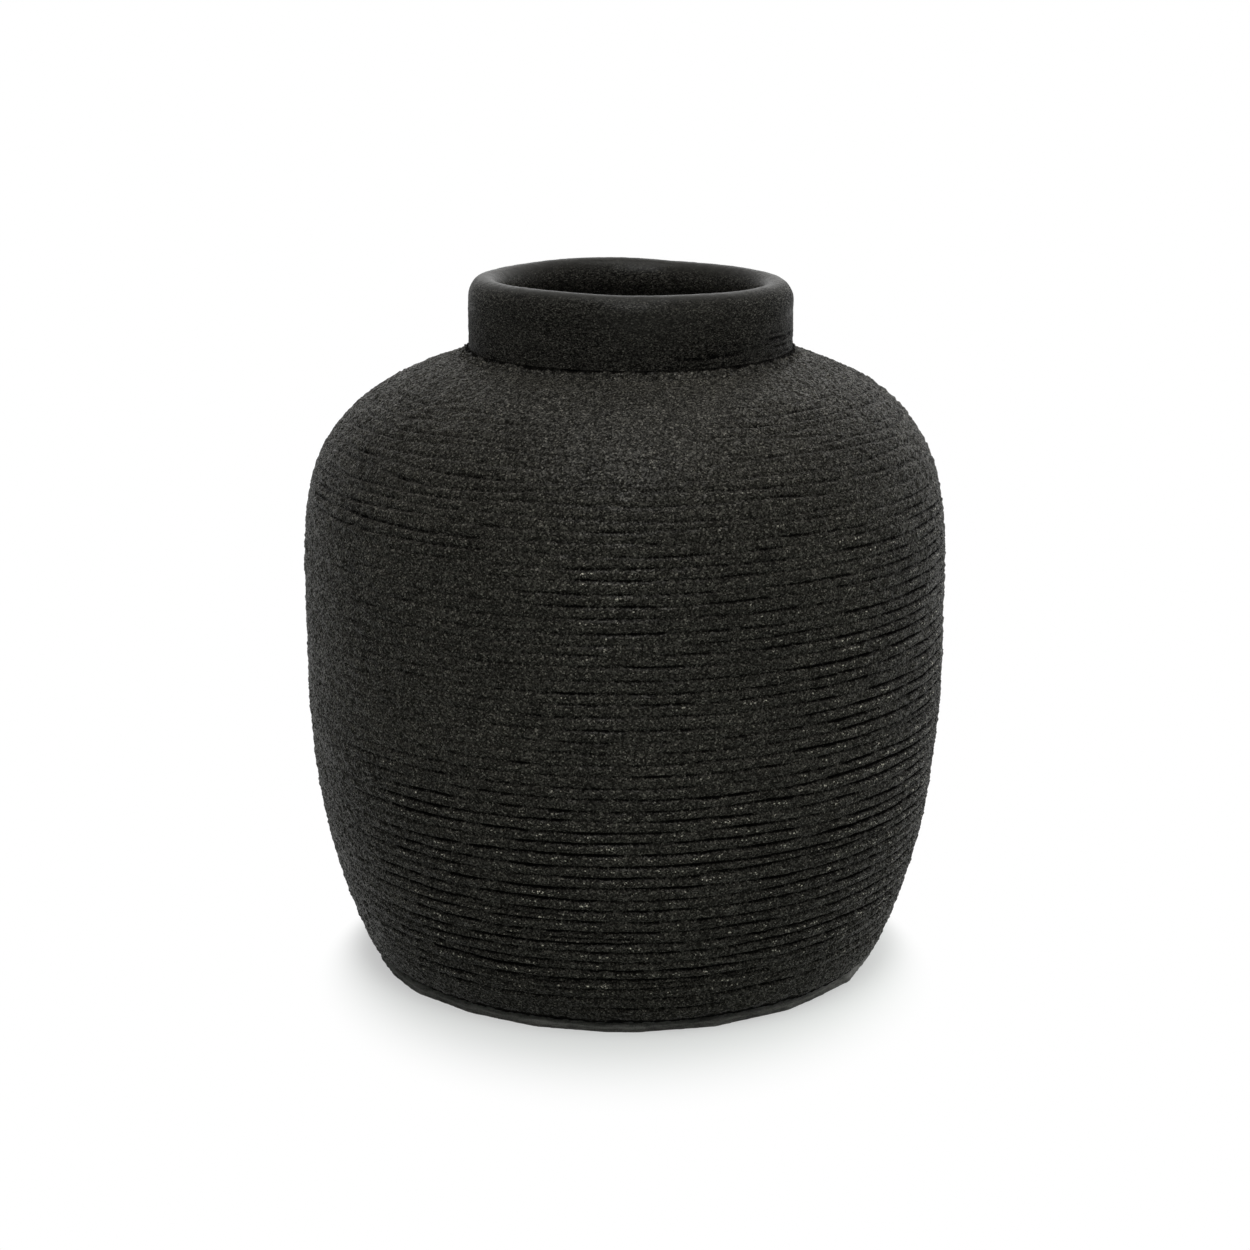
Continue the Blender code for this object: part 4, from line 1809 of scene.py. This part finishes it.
@dataclass
class FeltPad:
    """Felt disc, cut out by hand with straight snips of the scissors."""

    radius: float = 0.1143
    thickness: float = 0.0030
    shift: float = -0.0006
    hub: float = 0.015
    edge_margin: float = 0.006
    flat_rows: int = 8
    cuts: int = 26
    radius_wander: float = 0.0008
    angle_wander: float = 0.3
    cut_seed: int = 11
    fuzz_seed: int = 83
    kink_round: int = 3
    facing_least: float = 1e-9
    edge: tuple[Span, ...] = (
        (0.0004, 0.0000),
        (0.0001, 0.00012),
        (0.0, 0.0005),
        (0.00006, 0.0011),
        (0.0001, 0.0017),
        (0.00004, 0.0021),
        (0.0, 0.0024),
        (0.0001, 0.0027),
        (0.0005, 0.0031),
        (0.0010, 0.0036),
        (0.0016, 0.0040),
        (0.0022, 0.0043),
        (0.0030, 0.0041),
        (0.0040, 0.0037),
        (0.0052, 0.0030),
    )
    # Painted highlight along the cut edge, and painted light on the upper edge in the shade of the
    # jar's foot
    edge_light_heights: tuple[float, ...] = (0.0015, 0.0024, 0.0031, 0.0045)
    edge_light: tuple[float, ...] = (0.0, 0.7, 1.0, 1.0)
    edge_light_mean: float = 0.65
    edge_light_share: float = 0.35
    edge_light_bumps: int = 24
    fuzz: float = 0.00007
    fuzz_limit: float = 0.0002
    frays: float = 0.00012
    fray_bumps: int = 160

    def _cut_radius(self) -> np.ndarray:
        """Where the scissors cut.

        Returns:
            Distance from the pad's middle to its edge for each column.
        """
        wander = np.random.default_rng(self.cut_seed)
        corners = []
        for cut in range(self.cuts):
            turn = 2 * math.pi / self.cuts * (cut + self.angle_wander * wander.uniform(-1, 1))
            reach = self.radius + self.radius_wander * wander.uniform(-1, 1)
            corners.append((reach * math.cos(turn), reach * math.sin(turn)))
        corners = np.array(corners)
        sides = np.roll(corners, -1, axis=0) - corners
        ways = np.stack([np.cos(turns()), np.sin(turns())], axis=-1)
        cross = corners[:, 0] * sides[:, 1] - corners[:, 1] * sides[:, 0]
        along = ways[:, :1] * sides[:, 1] - ways[:, 1:] * sides[:, 0]
        facing = along > self.facing_least
        reach = np.where(facing, cross / np.where(facing, along, 1), np.inf).min(axis=1)
        for _ in range(self.kink_round):
            reach = (np.roll(reach, 1) + 2 * reach + np.roll(reach, -1)) / 4
        return reach

    def _ring(self, reach: np.ndarray, height: float) -> Ring:
        """One ring of the pad.

        Args:
            reach: Distance from the pad's middle for each column.
            height: Height of the ring.

        Returns:
            One point for each column.
        """
        across, back = self.shift + reach * np.cos(turns()), reach * np.sin(turns())
        return np.stack([across, back, np.full(COLUMNS, height)], axis=-1)

    def mesh(self) -> TurnedMesh:
        """Make the pad's closed shape.

        Returns:
            The mesh to build.
        """
        cut = self._cut_radius()
        chance = np.random.default_rng(self.fuzz_seed)
        reaches = np.linspace(self.hub, self.radius - self.edge_margin, self.flat_rows)
        below = [self._ring(cut * reach / self.radius, 0.0) for reach in reaches]
        above = [self._ring(cut * reach / self.radius, self.thickness) for reach in reaches[::-1]]
        fray = self.frays * ring_noise([self.fuzz_seed, 1], self.fray_bumps)
        side = []
        for inset, height in self.edge:
            rough = np.zeros(COLUMNS)
            if height > 0:
                rough = fray + self.fuzz * chance.standard_normal(COLUMNS)
            side.append(self._ring(cut - inset + np.minimum(rough, self.fuzz_limit), height))
        # Painted highlight along the cut edge, patchy round the pad, and painted light on the upper
        # edge in the jar's shade
        patchy = self.edge_light_mean + self.edge_light_share * ring_noise([self.fuzz_seed, 2], self.edge_light_bumps)
        heights = np.array(self.edge)[:, 1]
        edge_light = np.interp(heights, self.edge_light_heights, self.edge_light)[:, None] * np.clip(patchy, 0, 1)
        poles = ((self.shift, 0.0, 0.0), (self.shift, 0.0, self.thickness))
        rings = below + side + above
        return TurnedMesh("jar_base_pad", rings, poles, len(below), wiped_and_lit=edge_light, inside_wiped=0.0)

    def build(self, material: bpy.types.Material) -> None:
        """Build the pad.

        Args:
            material: Finish of the felt.
        """
        pad = self.mesh().build()
        dress(pad, material, "base_pad")


@dataclass
class AdhesiveFilm:
    """Film between the pad and the foot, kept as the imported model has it."""

    node: str = "pad_adhesive"

    def dress(self, nodes: dict[str, bpy.types.Object], material: bpy.types.Material) -> None:
        """Give the film its finish.

        Args:
            nodes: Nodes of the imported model.
            material: Finish of the film.
        """
        film = nodes[self.node]
        for slot in film.material_slots:
            slot.material = material
        LOG.info("%s: kept, %s", self.node, material.name)


@dataclass(frozen=True)
class SoftLight:
    """A soft patch of light on the studio's walls or ceiling."""

    way: Place
    start: float
    full: float
    level: float


@dataclass(frozen=True)
class Softbox:
    """A square lamp with a soft face."""

    name: str
    place: Place
    size: float
    power: float


@dataclass
class Studio:
    """Pale floor, soft light and the camera."""

    focal_pixels: float = 2615.5
    frame_pixels: float = 1250.0
    sensor: float = 36.0
    camera_place: Place = (0.0, -1.1317, 0.4460)
    camera_dip: float = 14.80
    floor_size: float = 12.0
    floor_drop: float = 0.0001
    floor_colour: Colour = (0.63, 0.68, 0.64)
    white_near: float = 0.50
    shade_radius: float = 0.115
    white_radius: float = 0.138
    white_stretch: float = 1.13
    white_forward: float = 0.040
    dim_light: float = 0.02
    lights: tuple[SoftLight, ...] = (
        SoftLight((0.00, 0.95, 0.30), 0.70, 0.97, 3.1),
        SoftLight((0.62, 0.77, 0.15), 0.60, 0.95, 3.7),
    )
    lamps: tuple[Softbox, ...] = (
        Softbox("top_softbox", (0.0, 0.0, 1.5), 0.7, 6.0),
        Softbox("high_softbox", (0.0, -0.62, 1.40), 0.5, 9.4),
        Softbox("key_softbox", (0.0, -0.95, 1.15), 0.5, 4.0),
    )
    aim: Place = (0.0, 0.0, 0.15)

    def camera(self) -> None:
        """Set up the camera in front of the jar and a little above it."""
        lens = bpy.data.cameras.new("jar_camera")
        lens.sensor_width = self.sensor
        lens.lens = self.sensor * self.focal_pixels / self.frame_pixels
        view = bpy.data.objects.new("jar_camera", lens)
        view.location = self.camera_place
        view.rotation_euler = (math.radians(90 - self.camera_dip), 0, 0)
        bpy.context.scene.collection.objects.link(view)
        bpy.context.scene.camera = view

    @staticmethod
    def _seen(graph: NodeGraph) -> Wire:
        """1 for a ray that sees the studio itself, from the camera or off a gloss.

        Args:
            graph: Tree to add the nodes to.

        Returns:
            0 or 1.
        """
        camera = graph.add("ShaderNodeLightPath", {}, {}, "Is Camera Ray")
        glossy = camera.sibling("Is Glossy Ray")
        through = camera.sibling("Is Transmission Ray")
        return camera.at_least(glossy).at_least(through)

    def floor(self) -> None:
        """Lay the floor, white far from the jar and darker close to it, by its real shadow and by
        painted shade.
        """
        half = self.floor_size / 2
        mesh = bpy.data.meshes.new("studio_floor")
        corners = [(-half, -half, 0), (half, -half, 0), (half, half, 0), (-half, half, 0)]
        mesh.from_pydata(corners, [], [(0, 1, 2, 3)])
        floor = bpy.data.objects.new("studio_floor", mesh)
        floor.location = (0, 0, -self.floor_drop)
        bpy.context.scene.collection.objects.link(floor)
        material = bpy.data.materials.new("studio_paper")
        material.use_nodes = True
        graph = NodeGraph(material.node_tree)
        place = graph.place()
        away = graph.vectors("DISTANCE", place, (0.0, 0.0, 0.0), "Value")
        squeezed = graph.vectors("MULTIPLY", place, (1.0, 1 / self.white_stretch, 1.0))
        middle = (0.0, -self.white_forward / self.white_stretch, 0.0)
        short = graph.vectors("DISTANCE", squeezed, middle, "Value")
        # Painted shade: the share of white glow drops to white_near towards the pad inside a ring
        # stretched to the front, so the grey paper shows there with its real shadow on it
        past_shade = (away - self.shade_radius).at_least(0.0)
        before_white = (self.white_radius - short).at_least(0.0)
        share = past_shade / (past_shade + before_white)
        share = graph.ranged(share, 0.0, 1.0, self.white_near, 1.0)
        paper = graph.add("ShaderNodeBsdfDiffuse", {}, {"Color": (*self.floor_colour, 1)})
        glow = graph.add("ShaderNodeEmission", {}, {"Color": (1, 1, 1, 1), "Strength": 1.0})
        sockets = {0: share * self._seen(graph), 1: paper, 2: glow}
        shader = graph.add("ShaderNodeMixShader", {}, sockets)
        graph.end("ShaderNodeOutputMaterial", {"Surface": shader})
        mesh.materials.append(material)

    def light(self) -> None:
        """Light the jar with soft patches behind, above and before it."""
        world = bpy.data.worlds.new("studio_light")
        world.use_nodes = True
        bpy.context.scene.world = world
        graph = NodeGraph(world.node_tree)
        way = graph.add("ShaderNodeTexCoord", {}, {}, "Generated")
        level: Value = self.dim_light
        for light in self.lights:
            facing = graph.vectors("DOT_PRODUCT", way, light.way, "Value")
            level = level + graph.ranged(facing, light.start, light.full, 0.0, light.level)
        seen = self._seen(graph)
        strength = level * (1 - seen) + seen
        sockets = {"Color": (1, 1, 1, 1), "Strength": strength}
        shader = graph.add("ShaderNodeBackground", {}, sockets)
        graph.end("ShaderNodeOutputWorld", {"Surface": shader})
        for box in self.lamps:
            lamp = bpy.data.lights.new(box.name, "AREA")
            lamp.shape = "SQUARE"
            lamp.size = box.size
            lamp.energy = box.power
            softbox = bpy.data.objects.new(box.name, lamp)
            softbox.location = box.place
            way = Vector(self.aim) - Vector(box.place)
            softbox.rotation_euler = way.to_track_quat("-Z", "Y").to_euler()
            bpy.context.scene.collection.objects.link(softbox)

    def build(self) -> None:
        """Build the whole studio."""
        self.camera()
        self.floor()
        self.light()
        bpy.context.scene.view_settings.view_transform = "Standard"


def main() -> None:
    """Build the jar from its pad up, and the studio round it."""
    logging.basicConfig(level=logging.INFO, format="%(name)s %(message)s")
    Studio().build()
    line = JarLine()
    wall, neck, rim = WALL_CLAY.material(), NECK_CLAY.material(), RIM_CLAY.material()
    FeltPad().build(FELT.material())
    AdhesiveFilm().dress(frame["nodes"], FILM.material())
    JarBody(line).build(wall)
    JarNeck(line).build(neck, rim)
    SeamCoils(line).build(SEAM_CLAY.material(), wall)


if __name__ == "__main__":
    main()
